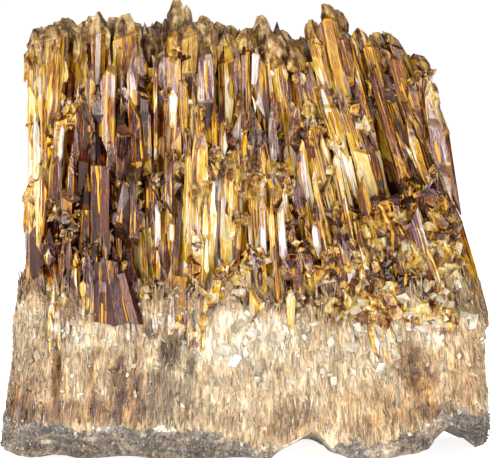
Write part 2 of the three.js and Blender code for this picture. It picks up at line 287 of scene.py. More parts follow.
def column_grid():
    """Number, foot, lean and radius of every place, in rows that are shifted by half a spacing in turn."""
    row, i = (a.ravel() for a in np.meshgrid(np.arange(ROWS), np.arange(PLACES_PER_ROW), indexing="ij"))
    number = row * 100 + i
    foot_x = -HALF_WIDTH + 4.4 + (i + (row % 2) / 2) * COLUMN_SPACING + spread(number, 6, 0.9)
    foot_y = -HALF_DEPTH + 3.4 + row * ROW_STEP + spread(number, 7, 0.8)
    lean_x = np.tan(np.radians(along(LEAN, foot_x) + spread(number, 8, 1.6)))
    lean_y = np.tan(np.radians(spread(number, 9, 1.2)))
    radius = COLUMN_SPACING * (0.55 + 0.15 * chance(number, 12))
    return number, foot_x, foot_y, lean_x, lean_y, radius


print("places for columns:", ROWS, "rows of", PLACES_PER_ROW)

# %% [markdown]
# The walk is done for all places and all heights at once, as one table of yes and no. Where the table
# turns from no to yes a column starts, and where it turns back the column ends.

# %% Walk up every place
def main_columns():
    """Rows of (number, foot x, foot y, lean x, lean y, radius, low, high, tip length)."""
    number, fx, fy, lx, ly, r = (a[:, None] for a in column_grid())
    z = np.arange(CRYSTAL_FOOT, TALLEST + 1)[None, :]
    x, y = fx + lx * (z - ROOT_HEIGHT), fy + ly * (z - ROOT_HEIGHT)
    back = np.maximum(0.2, 1 + 0.04 * (z - ROOT_HEIGHT) + spread(number, 31, 1.6))
    inside = (
        (x - 0.86 * r > along(LEFT_EDGE, z)) & (x + 0.86 * r < along(RIGHT_EDGE, z))
        & (y - r > front_recess(number, x, z) - HALF_DEPTH) & (y + r < HALF_DEPTH - back) & (z < TALLEST)
    )
    steps = np.diff(np.pad(inside.astype(int), ((0, 0), (1, 1))), axis=1)
    which, start = np.nonzero(steps == 1)
    stop = np.nonzero(steps == -1)[1]
    low, high = CRYSTAL_FOOT + start, CRYSTAL_FOOT + stop
    n, fx, fy, lx, ly, r = (a[which, 0] for a in (number, fx, fy, lx, ly, r))
    grown_to = along(CRYSTAL_TOPS, fx + lx * (76 - ROOT_HEIGHT)) - 0.1 * (fy + 10) + spread(n, 13, 2)
    top = np.minimum(high, grown_to)
    tip = np.where(high >= grown_to, r * (1.1 + chance(n, 14)), 0)
    keep = (high - low > np.where(low == CRYSTAL_FOOT, 8, 6)) & (top - low >= 6)
    return np.stack([n, fx, fy, lx, ly, r, low, top, tip], axis=1)[keep]


grid_columns = main_columns()
print("columns found:", len(grid_columns))

# %% [markdown]
# A few columns stand out from the crowd: the pair left of the middle, the leaning golden group and the
# shoulder on the right. Each is placed by its tip, in the same kind of row.

# %% Landmarks
# Each as ((tip x, y, z), radius, lean in degrees, length, tip length), and the tone of each.
LANDMARKS = [
    ((-12.4, -6, 84), 2.7, 0, 34, 7), ((-10.4, -10.5, 79), 2.8, 1, 13, 2.4),
    ((14.6, -5, 82.8), 2.5, -17, 40, 6), ((12, -8, 80), 2.1, -14, 36, 3.5),
    ((26, -5, 77.6), 2.5, -18, 28, 5), ((31.2, -6, 73.6), 2.3, -16, 17, 1.6),
    ((-34.8, -12.5, 78.4), 3, 2, 20, 2.2), ((20.6, -12.6, 59), 2.9, -15, 24, 0),
    ((24.4, -13.4, 50), 3.1, -17, 12, 0), ((36.5, -9, 47.5), 2.4, -16, 25, 0),
    ((39.8, -12, 35.5), 2.4, -9, 13, 0)]
LANDMARK_TONES = np.array([0.4, 0.46, 0.48, 0.55, 0.38, 0.6, 0.42, 0.7, 0.34, 0.42, 0.5])


def landmark_columns():
    """The foot lies under the tip, less the lean times the height between them."""
    rows = []
    for i, (tip, radius, lean, length, tip_length) in enumerate(LANDMARKS):
        slant = math.tan(math.radians(lean))
        rows.append([LANDMARKS_FROM + i, tip[0] - slant * (tip[2] - ROOT_HEIGHT), tip[1], slant, 0, radius,
                     tip[2] - length, tip[2], tip_length])
    return np.array(rows, float)


columns = np.vstack([grid_columns, landmark_columns()])
print("with the landmarks:", len(columns))

# %% [markdown]
# ## Blades
# Seen close, a column is rarely one clean prism. Most are bundles of a few blades, one to two millimetres
# across, that grew side by side and broke at slightly different heights. Some columns are left whole, so
# wide mirrors stay among the narrow ones, and more of them are left whole at the left and the right than
# in the fine-grained middle.

# %% Split columns into blades
BLADES_PER_COLUMN = 4
WHOLE_SHARE, WHOLE_SHARE_FINE = 0.75, 0.5


def blades_of(columns):
    """Each split column becomes four blades round its axis, each with its own broken end up to 3.5 mm
    short of the column's. Columns that start at the foot are rooted a little inside the pale layer."""
    columns = columns.copy()
    from_foot = columns[:, LOW] == CRYSTAL_FOOT
    rooted = along(PALE_TOP, columns[:, FOOT_X]) - 2.5 + spread(columns[:, NUMBER], 49, 2.5)
    columns[:, LOW] = np.where(from_foot, rooted, columns[:, LOW])
    fine_grained = (columns[:, FOOT_X] > -17) & (columns[:, FOOT_X] < 2)
    whole = chance(columns[:, NUMBER], 50) < np.where(fine_grained, WHOLE_SHARE_FINE, WHOLE_SHARE)
    whole |= columns[:, NUMBER] >= LANDMARKS_FROM
    split = np.repeat(columns[~whole], BLADES_PER_COLUMN, axis=0)
    k = np.tile(np.arange(BLADES_PER_COLUMN), int((~whole).sum()))
    parent = split[:, NUMBER]
    angle = 2 * np.pi * (k + 0.4 * chance(parent, 51 + k)) / BLADES_PER_COLUMN + 6.28 * chance(parent, 59)
    reach = split[:, RADIUS] * (0.38 + 0.12 * chance(parent, 60 + k))
    split[:, FOOT_X] += np.cos(angle) * reach
    split[:, FOOT_Y] += np.sin(angle) * reach
    split[:, LEAN_X] += spread(parent, 200 + k, 0.04)
    split[:, RADIUS] *= 0.42 + 0.28 * chance(parent, 68 + k)
    split[:, HIGH] -= 3.5 * chance(parent, 76 + k) ** 2
    split[:, LOW] += 3.5 * chance(parent, 84 + k) ** 2
    tip = split[:, RADIUS] * (1.3 + 1.6 * chance(parent, 92 + k))
    split[:, TIP] = np.where(split[:, TIP] > 0, tip, 0)
    split[:, NUMBER] = parent * 9 + k + SPLIT_FROM
    return np.vstack([columns[whole], split])


blades = blades_of(columns)
print("blades:", len(blades))

# %% [markdown]
# The eye meets one broken face at the front, so thin splinters and single blades are laid on that face
# and not anywhere in the depth. The face follows the ledges. Near the two front corners it is cut off
# at 45 degrees, because the specimen is rounded there and a splinter would stand in the air.

# %% The face that the eye meets
CORNER_CUT = 8


def face_of_fracture(x, z, number):
    """How far behind the front the broken face lies, with each ledge eased by 1 / (1 + e^-height over it)."""
    recess = 0.6 * np.sin(x * 0.31)
    for j in range(LEDGES):
        recess = recess + LEDGE_DEPTH / (1 + np.exp(-(z - ledge_height(x, j) - spread(number, 3 + j, 2))))
    return np.clip(recess, 0.2, DEEPEST_RECESS)


def corner_step(x, z):
    """8 mm less the distance in from the edge of the outline, as in a corner cut off at 45 degrees."""
    from_edge = np.minimum(x - along(LEFT_EDGE, z), along(RIGHT_EDGE, z) - x)
    return np.clip(CORNER_CUT - from_edge, 0, CORNER_CUT)


def front_face(x, z, number):
    """Depth of the face: the fracture, or the cut corner where that lies further back."""
    return -HALF_DEPTH + np.maximum(face_of_fracture(x, z, number), corner_step(x, z))


print("depth of the face at the middle, 30 and 75 mm up:", front_face(0, np.array([30, 75]), 0).round(1))

# %% [markdown]
# What lies on that face is placed by chance and then kept inside the specimen, and a short blade is known
# by its middle rather than by its foot. Three small helpers say this once for all the pieces to come.

# %% Places on the face
def within_outline(n, k, z, margin):
    """A chance place across, between the outline's edges at a height, less a margin."""
    left, right = along(LEFT_EDGE, z) + margin, along(RIGHT_EDGE, z) - margin
    return left + (right - left) * chance(n, k)


def held_inside(x, z, margin):
    """x, moved in where it lies nearer to an edge of the outline than the margin."""
    return np.clip(x, along(LEFT_EDGE, z) + margin, along(RIGHT_EDGE, z) - margin)


def rows_at(n, x, y, z, lean_x, lean_y, radius, low, high):
    """Rows of blades without a grown tip, whose axes pass through (x, y) at height z."""
    rise = z - ROOT_HEIGHT
    return rows_of(n, x - lean_x * rise, y - lean_y * rise, lean_x, lean_y, radius, low, high, 0.0)


print("furthest places 60 mm up, left and right:", held_inside(np.array([-99, 99]), 60, 2).round(1), "mm")

# %% [markdown]
# Splinters are thin, and most are short: the square of a chance gives many small ones and few large ones.
# On the right they lean with the columns, and further up they lie further over, so the lean is read at
# the place of their foot. At the bottom thin pale blades carry the fibres of the layer below up between
# the feet of the columns.

# %% Splinters and pale fibres
SPLINTER_COUNT, FIBRE_COUNT = 270, 110


def slivers(count):
    """Splinters 4 to 26 mm long that lie on the fracture face from side to side."""
    n = SPLINTERS_FROM + np.arange(count)
    z = 29 + 43 * chance(n, 1)
    x = within_outline(n, 2, z, 1.6)
    y = front_face(x, z, n) + 0.5 + 1.3 * chance(n, 8)
    lean = np.tan(np.radians(along(LEAN, x + 0.25 * (z - ROOT_HEIGHT) * (x > 0)) + spread(n, 9, 2.5)))
    half = 2 + 11 * chance(n, 10) ** 2
    radius = 0.5 + 1.1 * chance(n, 11) ** 2
    low = np.maximum(z - half, 25.5)
    high = np.minimum(z + half, along(CRYSTAL_TOPS, x) - 4)
    return rows_at(n, x, y, z, lean, 0 * x, radius, low, high)[high - low > 3]


def pale_fibres(count):
    """Blades 0.3 to 0.9 mm in radius, from inside the pale layer to at most 5.5 mm above its top."""
    n = FIBRES_FROM + np.arange(count)
    z = 18 + 7 * chance(n, 1)
    x = within_outline(n, 2, z, 1.4)
    y = -HALF_DEPTH + 0.9 + 1.6 * chance(n, 8) + corner_step(x, z)
    lean = np.tan(np.radians(0.9 * along(LEAN, x) + spread(n, 9, 4)))
    top = along(PALE_TOP, x) - 0.5 + 6 * chance(n, 10) ** 2
    radius = 0.3 + 0.6 * chance(n, 11) ** 2
    return rows_at(n, x, y, z, lean, 0 * x, radius, z, top)


splinters = slivers(SPLINTER_COUNT)
fibres = pale_fibres(FIBRE_COUNT)
print("splinters:", len(splinters), "pale fibres:", len(fibres))

# %% [markdown]
# Chance alone doesn't give the few blades that make a specimen's face known: the white flashes, which are
# painted highlights, the deep brown bars and the flats painted with a lilac reflection. Those are placed one
# by one.

# %% Blades that catch the eye
# As (x of the middle, low, high, radius, lean in degrees, tone, share of painted lilac reflection).
# A tone near 1 is a painted white flash.
SHOWN_BLADES = np.array([
    (-20.3, 61, 76, 1.1, 0, 0.62, 1), (-20.1, 53.6, 68, 1.0, 0, 0.45, 1),
    (-17.6, 54.3, 64.4, 0.6, -2, 0.5, 1), (-33.6, 53, 61, 0.7, 8, 0.85, 1),
    (-30.6, 53.9, 61, 0.7, 0, 0.36, 1), (0.1, 53, 61, 1.1, 0, 0.92, 1), (5, 53, 66, 1.1, -2, 0.5, 1),
    (-3.6, 54.2, 60, 0.55, 0, 0.98, 0), (-1.6, 54.8, 63, 0.9, 0, 0.7, 1), (-6.8, 59, 76, 1.6, 0, 0.52, 1),
    (-13.1, 59.8, 67.5, 0.85, 0, 0.95, 0.4), (1.9, 67.5, 75, 0.7, 3, 0.92, 1),
    (2.4, 62, 67.5, 0.9, -12, 0.9, 1), (-6.9, 33.9, 41, 0.45, 0, 0.95, 0),
    (3.2, 36, 48.3, 0.75, -2, 0.86, 1), (5, 36, 48.5, 0.7, -2, 0.62, 0), (6.8, 35, 48, 0.75, -4, 0.8, 1),
    (19.2, 32.4, 37.4, 0.95, -10, 0.92, 0.5), (16.9, 31.5, 38.6, 1.4, -12, 0.3, 1),
    (26.9, 36, 40.8, 0.45, 0, 0.96, 1), (35.2, 47, 66, 1.3, -13, 0.55, 0.9),
    (37.4, 44, 60, 1.0, -10, 0.3, 0.5), (8.2, 23.9, 32, 0.8, 0, 0.78, 0.4),
    (2.2, 25.2, 32, 1.3, 0, 0.7, 0.3), (18, 65.5, 72, 0.8, -18, 0.7, 1),
    (34, 57, 69, 1.35, -12, 0.78, 0.5), (17.4, 46.8, 55.6, 0.8, -14, 0.86, 0),
    (19.3, 46.4, 55.4, 0.85, -14, 0.97, 0), (21.2, 46.4, 55, 0.75, -14, 0.8, 0),
    (22.6, 44.6, 50.4, 0.85, -12, 0.97, 1), (21.8, 52, 59.5, 0.85, -14, 0.84, 1),
    (24, 44.6, 60, 0.8, -14, 0.08, 0), (2.9, 53.4, 62.5, 1.5, 0, 0.2, 0),
    (-26.4, 37.4, 54, 2.0, 0, 0.14, 0.3), (-8.7, 31.8, 38.4, 1.4, 0, 0.4, 0),
    (-25.5, 25.2, 37, 1.7, 0, 0.14, 0.25), (-23.2, 25, 37.2, 1.7, -9, 0.1, 0.35),
    (-21.2, 25.2, 35, 1.5, -15, 0.17, 0.3), (-37, 38, 52, 1.1, 0, 0.66, 0),
    (-38.4, 58, 68, 1.2, 0, 0.7, 0), (-13.6, 44, 56, 1.0, 0, 0.12, 0.5),
    (-24.6, 55, 72, 1.5, 0, 0.46, 0.3), (-28.6, 55, 66, 1.3, 0, 0.2, 0.2),
    (12.8, 37, 44, 0.8, -8, 0.9, 1), (28.5, 48, 58, 1.2, -15, 0.4, 0), (9.6, 44, 52, 0.9, -4, 0.3, 1),
    (-15.8, 38.5, 47, 0.5, 0, 0.93, 1), (31, 60, 69, 1.1, -17, 0.34, 0.4),
    (16.6, 63, 81, 1.9, -11, 0.5, 0), (13.9, 66, 77, 1.7, -12, 0.6, 0), (-12.6, 67, 78, 1.6, 0, 0.56, 0),
    (23.6, 66, 76, 1.5, -16, 0.42, 0), (28.2, 64, 74, 1.4, -16, 0.3, 0), (19.6, 64, 77, 1.4, -14, 0.24, 0)])
*_, SHOWN_TONES_AND_FLASHES, SHOWN_REFLECTION_LILAC = SHOWN_BLADES.T


def shown_blades():
    """Their rows, each standing on the face at its own low end."""
    x, low, high, radius, lean, _, _ = SHOWN_BLADES.T
    n = SHOWN_FROM + np.arange(len(SHOWN_BLADES))
    y = front_face(x, low + 1.5, 0 * n) + 0.45 * radius - 0.6 * (low < 26)
    return rows_at(n, x, y, (low + high) / 2, np.tan(np.radians(lean)), 0 * x, radius, low, high)


print("shown blades:", len(SHOWN_BLADES))

# %% [markdown]
# ## From a blade to a surface
# A blade is a six-sided tube of five rings with a point at each end. Cleaved calcite breaks in three flats
# at about 45 degrees that meet in a point, some blades run out in a long thin point, and a grown end is a
# steep pyramid. The ends come first, because the rings share out what lies between them.

# %% How a blade ends
SIDES = 6
RINGS = 5
THIRD_OF_A_TURN = 2.0944


def end_slopes(n, cx, cy, foot_y, sharp, roofs):
    """How far a broken end falls at each corner and at the axis, in radii. One flat falls by 0.8 plus the
    corner's part along its slope. Three flats fall by the largest of their three parts, and not at all at
    the axis, where they meet. The slope points to the front on the front half of the specimen, and to the
    back on the back half, so that the flat shows."""
    turn = np.where(foot_y < 0, -np.pi, np.pi) * chance(n, 2)
    slope = sharp * (0.6 + 0.9 * chance(n, 3))
    facing = [cx * np.cos(turn + j * THIRD_OF_A_TURN) + cy * np.sin(turn + j * THIRD_OF_A_TURN)
              for j in range(3)]
    three_flats = np.maximum(np.maximum(facing[0], facing[1]), facing[2])
    single = chance(n, 5) >= roofs
    return slope, np.where(single, 0.8 + facing[0], three_flats), np.where(single, 0.8, 0.0)


print("rings of a blade:", RINGS, "of", SIDES, "corners")

# %% [markdown]
# Extruding a profile by hand would make one blade, and there are hundreds. So all are worked out at once:
# the first axis of every array counts the blades, the second the corners of a ring, and the last holds x,
# y and z.

# %% Carry a six-sided outline up every blade at once
def blade_surfaces(blades, waist=0.05, bump=0.04, wedge=0.55, fangs=0.25, swell=(1, 1, 1, 1, 1),
                   sharp=1.0, flat_on=False, roofs=0.25):
    """(blades, 32, 3) points: five rings of six corners, then the low and the high end point.
    A corner sits at axis(z) + radius * scale(ring) * corner, and axis(z) = foot + lean * (z - root).
    waist and bump are how much a ring may shrink and shift, wedge how much a blade may narrow to one end,
    fangs the share that run out in a long point, swell the width of each ring, sharp how steeply a broken
    end falls, and roofs the share of ends with three flats. With flat_on a blade is flat and one broad
    side faces the front."""
    n, fx, fy, lx, ly, r, low, high, tip = (blades[:, i, None] for i in range(9))
    k = np.arange(SIDES)[None, :]
    angle = 2 * np.pi * k / SIDES + spread(n, 10 + k, 0.2 if flat_on else 0.4)
    reach = 1 + spread(n, 20 + k, 0.22)
    flatness = 0.45 if flat_on else 0.62 + 0.38 * chance(n, 26)
    way = spread(n, 1, 0.35) if flat_on else np.pi * chance(n, 1)
    wide, flat = np.cos(angle) * reach, np.sin(angle) * reach * flatness
    cx, cy = wide * np.cos(way) - flat * np.sin(way), wide * np.sin(way) + flat * np.cos(way)
    slope, corner_fall, axis_fall = end_slopes(n, cx, cy, fy, sharp, roofs)
    fall, fall_at_axis = slope * r * corner_fall, slope * r * axis_fall
    grown = tip > 0
    length = high - low
    low_fang = (chance(n, 142) < fangs) * np.minimum(length * (0.2 + 0.25 * chance(n, 143)), 9)
    high_fang = (chance(n, 144) < fangs) * np.minimum(length * (0.15 + 0.2 * chance(n, 145)), 7) * ~grown
    bottom = low + np.maximum(fall, low_fang)
    top = np.where(grown, high - tip + 0.3 * r * cx, high - np.maximum(fall, high_fang))
    narrow_up = chance(n, 141) < 0.5
    wedge = wedge * chance(n, 140) ** 2

    def at_height(z, ax, ay):
        rise = z - ROOT_HEIGHT
        return np.stack([fx + lx * rise + ax * r, fy + ly * rise + ay * r, z], axis=-1)

    rings = []
    for j in range(RINGS):
        inner = 0 < j < RINGS - 1
        t = j / (RINGS - 1) + spread(n, 130 + j, 0.1) * inner
        ragged = spread(n, 160 + SIDES * j + k, 1) * np.minimum(r, length / 12) * inner
        narrow = swell[j] * (1 - waist * chance(n, 100 + j)) * (1 - wedge * np.where(narrow_up, t, 1 - t))
        aside_x, aside_y = spread(n, 110 + j, bump), spread(n, 120 + j, bump)
        z = bottom * (1 - t) + top * t + ragged
        rings.append(at_height(z, cx * narrow + aside_x, cy * narrow + aside_y))
    low_point = at_height(low + np.where(low_fang > 0, 0, fall_at_axis), 0 * n, 0 * n)
    high_point = at_height(np.where(grown | (high_fang > 0), high, high - fall_at_axis),
                           np.where(grown, spread(n, 6, 0.3), 0), np.where(grown, spread(n, 7, 0.3), 0))
    return np.concatenate(rings + [low_point, high_point], axis=1)


print("blades, points of each, and x y z:", blade_surfaces(blades).shape)

# %% [markdown]
# The faces are the same for every blade, so they are written once and repeated with the corner numbers
# moved on. Each corner of a face also gets its place across the side, so that a streak breaks off at an
# edge of the blade, as a reflection does.

# %% Faces of every blade
CORNERS_PER_BLADE = RINGS * SIDES + 2


def repeated(one, count, corners):
    """The faces of one thing for each of them, with its corner numbers moved on by its corners each time."""
    return (one[None] + (np.arange(count) * corners)[:, None, None]).reshape(-1, 3)


def blade_faces(count):
    """Triangles of every blade: its sides in pairs, then a fan at each end. For each triangle also its side
    and its part from the foot up, whether it is an end, and the place of its corners across the side."""
    k = np.arange(SIDES)
    n = (k + 1) % SIDES
    one, across = [], []
    for j in range(RINGS - 1):
        a, b = j * SIDES, (j + 1) * SIDES
        one += [np.stack([a + k, a + n, b + n], axis=1), np.stack([a + k, b + n, b + k], axis=1)]
        across += [[0, 1, 1]] * SIDES + [[0, 1, 0]] * SIDES
    low, high, top = RINGS * SIDES, RINGS * SIDES + 1, (RINGS - 1) * SIDES
    one += [np.stack([low + 0 * k, n, k], axis=1), np.stack([high + 0 * k, top + k, top + n], axis=1)]
    across += [[0.5, 0, 0]] * (2 * SIDES)
    one = np.concatenate(one)
    side = np.tile(k, 2 * RINGS)
    part = np.repeat(np.arange(2 * RINGS), SIDES) // 2
    is_end = np.arange(len(one)) >= 2 * SIDES * (RINGS - 1)
    each = (np.tile(values, count) for values in (side, part, is_end))
    return repeated(one, count, CORNERS_PER_BLADE), *each, np.tile(across, (count, 1))


print("triangles of a blade:", len(blade_faces(1)[0]))

# %% [markdown]
# Each facet gets its four numbers from where it is and from chance. Placed blades and landmarks have a
# tone of their own. Just above the pale layer every blade turns to straw and cream.

# %% Natures of the blades
def own_or(values, first, number, otherwise):
    """The value of each facet whose number is in a table that counts from first, and else the other one."""
    has_own = (number >= first) & (number < first + len(values))
    return np.where(has_own, values[np.where(has_own, number - first, 0).astype(int)], otherwise)


def height_over_pale(middle):
    """Height over the top of the pale layer."""
    return middle[:, 2] - along(PALE_TOP, middle[:, 0])


def tone_of_blades(number, side, part, middle):
    """0.4 plus the clouds, plus up to 0.12 for the blade and 0.15 for its side, or its own tone from a
    table, carried to 0.66 over the last 5 mm or so above the pale layer, and up to 0.1 for its part."""
    x, z = middle[:, 0], middle[:, 2]
    own = 0.4 + cloud_tone(CLOUDS, x, z) + spread(number, 90, 0.12) + spread(number, 91 + side, 0.15)
    own = own_or(LANDMARK_TONES, LANDMARKS_FROM, number, own)
    pale = np.clip((along(PALE_TOP, x) + 5 + spread(number, 96, 2) - z) / 6, 0, 0.85)
    own = own * (1 - pale) + pale * (0.66 + spread(number, 97 + side, 0.1))
    # Placed blades keep their own tone, which near 1 paints a white flash.
    own = own_or(0.92 * SHOWN_TONES_AND_FLASHES, SHOWN_FROM, number, own)
    return own + spread(number, 98 + side * 5 + part, 0.1)


print("over the pale layer, 60 mm up at the middle:", height_over_pale(np.array([[0.0, 0.0, 60.0]])), "mm")

# %% [markdown]
# The other three numbers are strong on some flats and weak on the rest, because a flat is known by those
# round it: a mirror looks bright beside a dull one.

# %% Streaks, lilac and dullness of the blades
def streaks_of_blades(number, side, middle):
    """0.15 to 0.5 on plain flats, 0.8 to 1.3 on two flats in five, and half of that at the feet."""
    plain = 0.15 + 0.35 * chance(number, 92 + side)
    strong = np.where(chance(number, 104 + side) < 0.4, 0.8 + 0.5 * chance(number, 92 + side), plain)
    return strong * np.clip(height_over_pale(middle) / 5, 0.5, 1)


def painted_reflection_of_blades(number, side, middle):
    """The share of a flat's painted lilac reflection: 0.9 on 13 flats in a hundred, and on the others 0.08
    plus up to 0.25 at the feet. Placed blades have their own share."""
    foot = np.clip((4 - height_over_pale(middle)) / 5, 0, 0.25)
    # lilac here is the share of a flat's painted reflection.
    lilac = np.where(chance(number, 150 + side) < 0.13, 0.9, 0.08 + foot)
    return own_or(0.85 * SHOWN_REFLECTION_LILAC, SHOWN_FROM, number, lilac)


def dullness(number, middle, is_end):
    """0.1 to 0.7 on an end. Elsewhere a haze that fades over the last 9 mm below the tops, from 0.7, or
    from 0.3 on placed blades."""
    below = along(CRYSTAL_TOPS, middle[:, 0]) - middle[:, 2]
    haze = own_or(0 * SHOWN_TONES_AND_FLASHES + 0.3, SHOWN_FROM, number, 0.7) * np.clip((9 - below) / 9, 0, 1)
    return np.where(is_end, 0.1 + 0.6 * chance(number, 103), haze)


print("lilac ones among the shown blades:", int((SHOWN_REFLECTION_LILAC > 0.5).sum()))

# %% [markdown]
# The run of a blade goes across each of its sides and up. It starts at a chance place and slants by up to
# 5 degrees, so that no two sides carry the same streaks. The side of an end counts as twice as wide,
# because its fan meets in the middle.

# %% Make a piece of many blades
SIDE_WIDTH = 1.05  # of one of the six sides, in radii


def bladed(name, blades, painted_end_shade=0.1, **shape):
    """A piece of many blades, each facet with its nature. Upper ends are painted darker by painted_end_shade,
    as shade, because one looks into them and not through them."""
    points = blade_surfaces(blades, **shape).reshape(-1, 3)
    faces, side, part, is_end, across = blade_faces(len(blades))
    corners = points[faces]
    middle = corners.mean(axis=1)
    number, radius = (np.repeat(blades[:, i], len(faces) // len(blades)) for i in (NUMBER, RADIUS))
    # The ends are painted darker, as shade.
    tone = tone_of_blades(number, side, part, middle) - painted_end_shade * (part == RINGS - 1)
    nature = rows_of(tone, streaks_of_blades(number, side, middle), dullness(number, middle, is_end),
                     painted_reflection_of_blades(number, side, middle))
    width = radius * SIDE_WIDTH
    start, slant, up = 37 * chance(number, 95 + side), spread(number, 153 + side, 0.09), corners[..., 2]
    run = np.stack([start[:, None] + across * width[:, None] + slant[:, None] * up, up], axis=-1)
    edge = np.stack([across, np.where(is_end, 2, 1)[:, None] * width[:, None] + 0 * across], axis=-1)
    return make_piece(name, points, faces, nature, run, edge)


print("a side of a blade 3 mm in radius:", round(3 * SIDE_WIDTH, 2), "mm wide")

# %% [markdown]
# Six kinds of blade come out of the same function. Splinters and placed blades lie flat on the face and
# end in long slants. The dark bar low on the left is made of four blades with blunt ends side by side.
# The golden group at the top ends in three flats that meet in a point, as cleaved calcite does.

# %% The bladed pieces
FLAT_AND_EVEN = {"waist": 0.04, "bump": 0.03, "flat_on": True}
SPLINTER = {"waist": 0.1, "bump": 0.06, "wedge": 0.5, "fangs": 0.4, "swell": (0.85, 1, 1, 0.95, 0.8),
            "sharp": 2.2, "flat_on": True}
KITE = {**FLAT_AND_EVEN, "wedge": 0.5, "fangs": 0.3, "sharp": 2.4}
BLUNT = {**FLAT_AND_EVEN, "wedge": 0.1, "fangs": 0.0, "sharp": 0.25}
POINTED = {**FLAT_AND_EVEN, "wedge": 0.15, "fangs": 0.0, "sharp": 1.5, "roofs": 1.0}
BLUNT_ROWS = [33, 35, 36, 37]  # rows of SHOWN_BLADES: the dark bar
POINTED_ROWS = [48, 49, 50, 51, 52, 53]  # and the golden points

crystals = bladed("calcite_columns", blades, sharp=1.3)
splinter_piece = bladed("calcite_splinters", splinters, **SPLINTER)
kite_piece = bladed("shown_blades", np.delete(shown_blades(), BLUNT_ROWS + POINTED_ROWS, axis=0), **KITE)
pointed_piece = bladed("golden_points", shown_blades()[POINTED_ROWS], **POINTED)
block_piece = bladed("dark_block", shown_blades()[BLUNT_ROWS], **BLUNT)
fibre_piece = bladed("pale_fibres", fibres, **SPLINTER)

# %% [markdown]
# ## Rings, smooth noise and closed skins
# The cloudy inside, the pale layer and the rock are closed skins over stacked rings. A ring is a rounded
# rectangle, given in fractions of the half width and half depth. Its points are evenly spaced, so every
# ring has the same number and the skin between two rings is a plain grid. Smooth noise makes the skins
# uneven.

# %% A ring round the specimen
CORNER_ROUNDING = 8
POINTS_PER_CORNER = 12


def plan_outline(count):
    """u and v of each point: four quarter circles joined by straight lines, walked in even steps."""
    w, d, r = HALF_WIDTH, HALF_DEPTH, CORNER_ROUNDING
    corners = []
    for cx, cy, a0 in ((w - r, d - r, 0), (r - w, d - r, 90), (r - w, r - d, 180), (w - r, r - d, 270)):
        a = np.radians(a0 + np.linspace(0, 90, POINTS_PER_CORNER))
        corners.append(np.stack([cx + r * np.cos(a), cy + r * np.sin(a)], axis=1))
    path = np.concatenate(corners + [corners[0][:1]])
    walked = np.concatenate([[0], np.cumsum(np.linalg.norm(np.diff(path, axis=0), axis=1))])
    at = np.linspace(0, walked[-1], count, endpoint=False)
    return np.interp(at, walked, path[:, 0]) / w, np.interp(at, walked, path[:, 1]) / d


def noise(a, b, seed, wrap=None):
    """Smooth value noise from -1 to 1: hashes at whole (a, b), eased between with 3t^2 - 2t^3. With wrap, a
    starts again at that number, so that the noise closes round a ring."""
    a, b = np.broadcast_arrays(np.asarray(a, float), np.asarray(b, float))
    a0, b0 = np.floor(a), np.floor(b)
    ta, tb = a - a0, b - b0
    ta, tb = ta * ta * (3 - 2 * ta), tb * tb * (3 - 2 * tb)

    def at(i, j):
        i = i % wrap if wrap else i
        return spread(i + 57 * j + 13 * seed, seed, 1)

    low = at(a0, b0) * (1 - ta) + at(a0 + 1, b0) * ta
    high = at(a0, b0 + 1) * (1 - ta) + at(a0 + 1, b0 + 1) * ta
    return low * (1 - tb) + high * tb


print("first point of a ring:", [round(float(a[0]), 3) for a in plan_outline(400)])

# %% [markdown]
# The skin between the rings is made of pairs of triangles, and a fan to the middle closes each end. A thin
# tube with a point at each end has the same faces, so one function serves both.

# %% Faces of a closed skin
def tube_faces(rings, around):
    """Triangles over stacked rings of points: the grid, which closes round on itself, then a fan to the low
    end point and one to the high end point. Those two points come after all the rings."""
    r, k = (a.ravel() for a in np.meshgrid(np.arange(rings - 1), np.arange(around), indexing="ij"))
    a, b = r * around + k, r * around + (k + 1) % around
    k = np.arange(around)
    low, high, top = rings * around + 0 * k, rings * around + 1 + 0 * k, (rings - 1) * around
    return np.concatenate([
        np.stack([a, b, b + around], axis=1),
        np.stack([a, b + around, a + around], axis=1),
        np.stack([low, (k + 1) % around, k], axis=1),
        np.stack([high, top + k, top + (k + 1) % around], axis=1),
    ])


def closed_body(rings):
    """Points and faces of a closed skin over stacked rings, shape (rings, around, 3)."""
    points = np.vstack([rings.reshape(-1, 3), rings[0].mean(axis=0), rings[-1].mean(axis=0)])
    return points, tube_faces(*rings.shape[:2])


print("triangles of a tube of two rings of four:", len(tube_faces(2, 4)))

# %% [markdown]
# ## The cloudy heart
# Behind the first rows of columns the crystals are so crowded, and so full of healed cracks, that light
# no longer gets through. That inside is one ribbed body which stands a few millimetres behind the faces.
# It catches the light that comes in between the clear columns and throws it back gold. It could be more
# columns, but they would cost ten times the triangles and show no more.

# %% The heart
def heart_rings(around=420, levels=60):
    """Rings from the pale layer up to the tips. The front steps back with the ledges, and ribs of about a
    millimetre run up the sides like the columns in front of them. It keeps further in at the ends and the
    back, where no column is broken off to show it."""
    u, v = plan_outline(around)
    z = np.linspace(24, 71, levels)[:, None]
    left, right = along(LEFT_EDGE, z) + 4.6, along(RIGHT_EDGE, z) - 4.6
    x = (left + right + u * (right - left)) / 2
    front = -HALF_DEPTH + 2.9 + face_of_fracture(x, z, 0)
    back = HALF_DEPTH - 6.2 - 0.04 * (z - 24)
    y = (front + back + v * (back - front)) / 2
    k = np.arange(around) / around
    rib = 0.55 * noise(k * 210, z / 14, 3, 210) + 0.7 * noise(k * 84, z / 22, 4, 84)
    x = x * (1 - rib * 0.012)
    y = y - np.sign(v) * np.abs(v) ** 3 * (rib + 0.4)
    return np.stack(np.broadcast_arrays(x, y, z + 1.5 * noise(k * 105, 0 * z, 5, 105)), axis=-1)


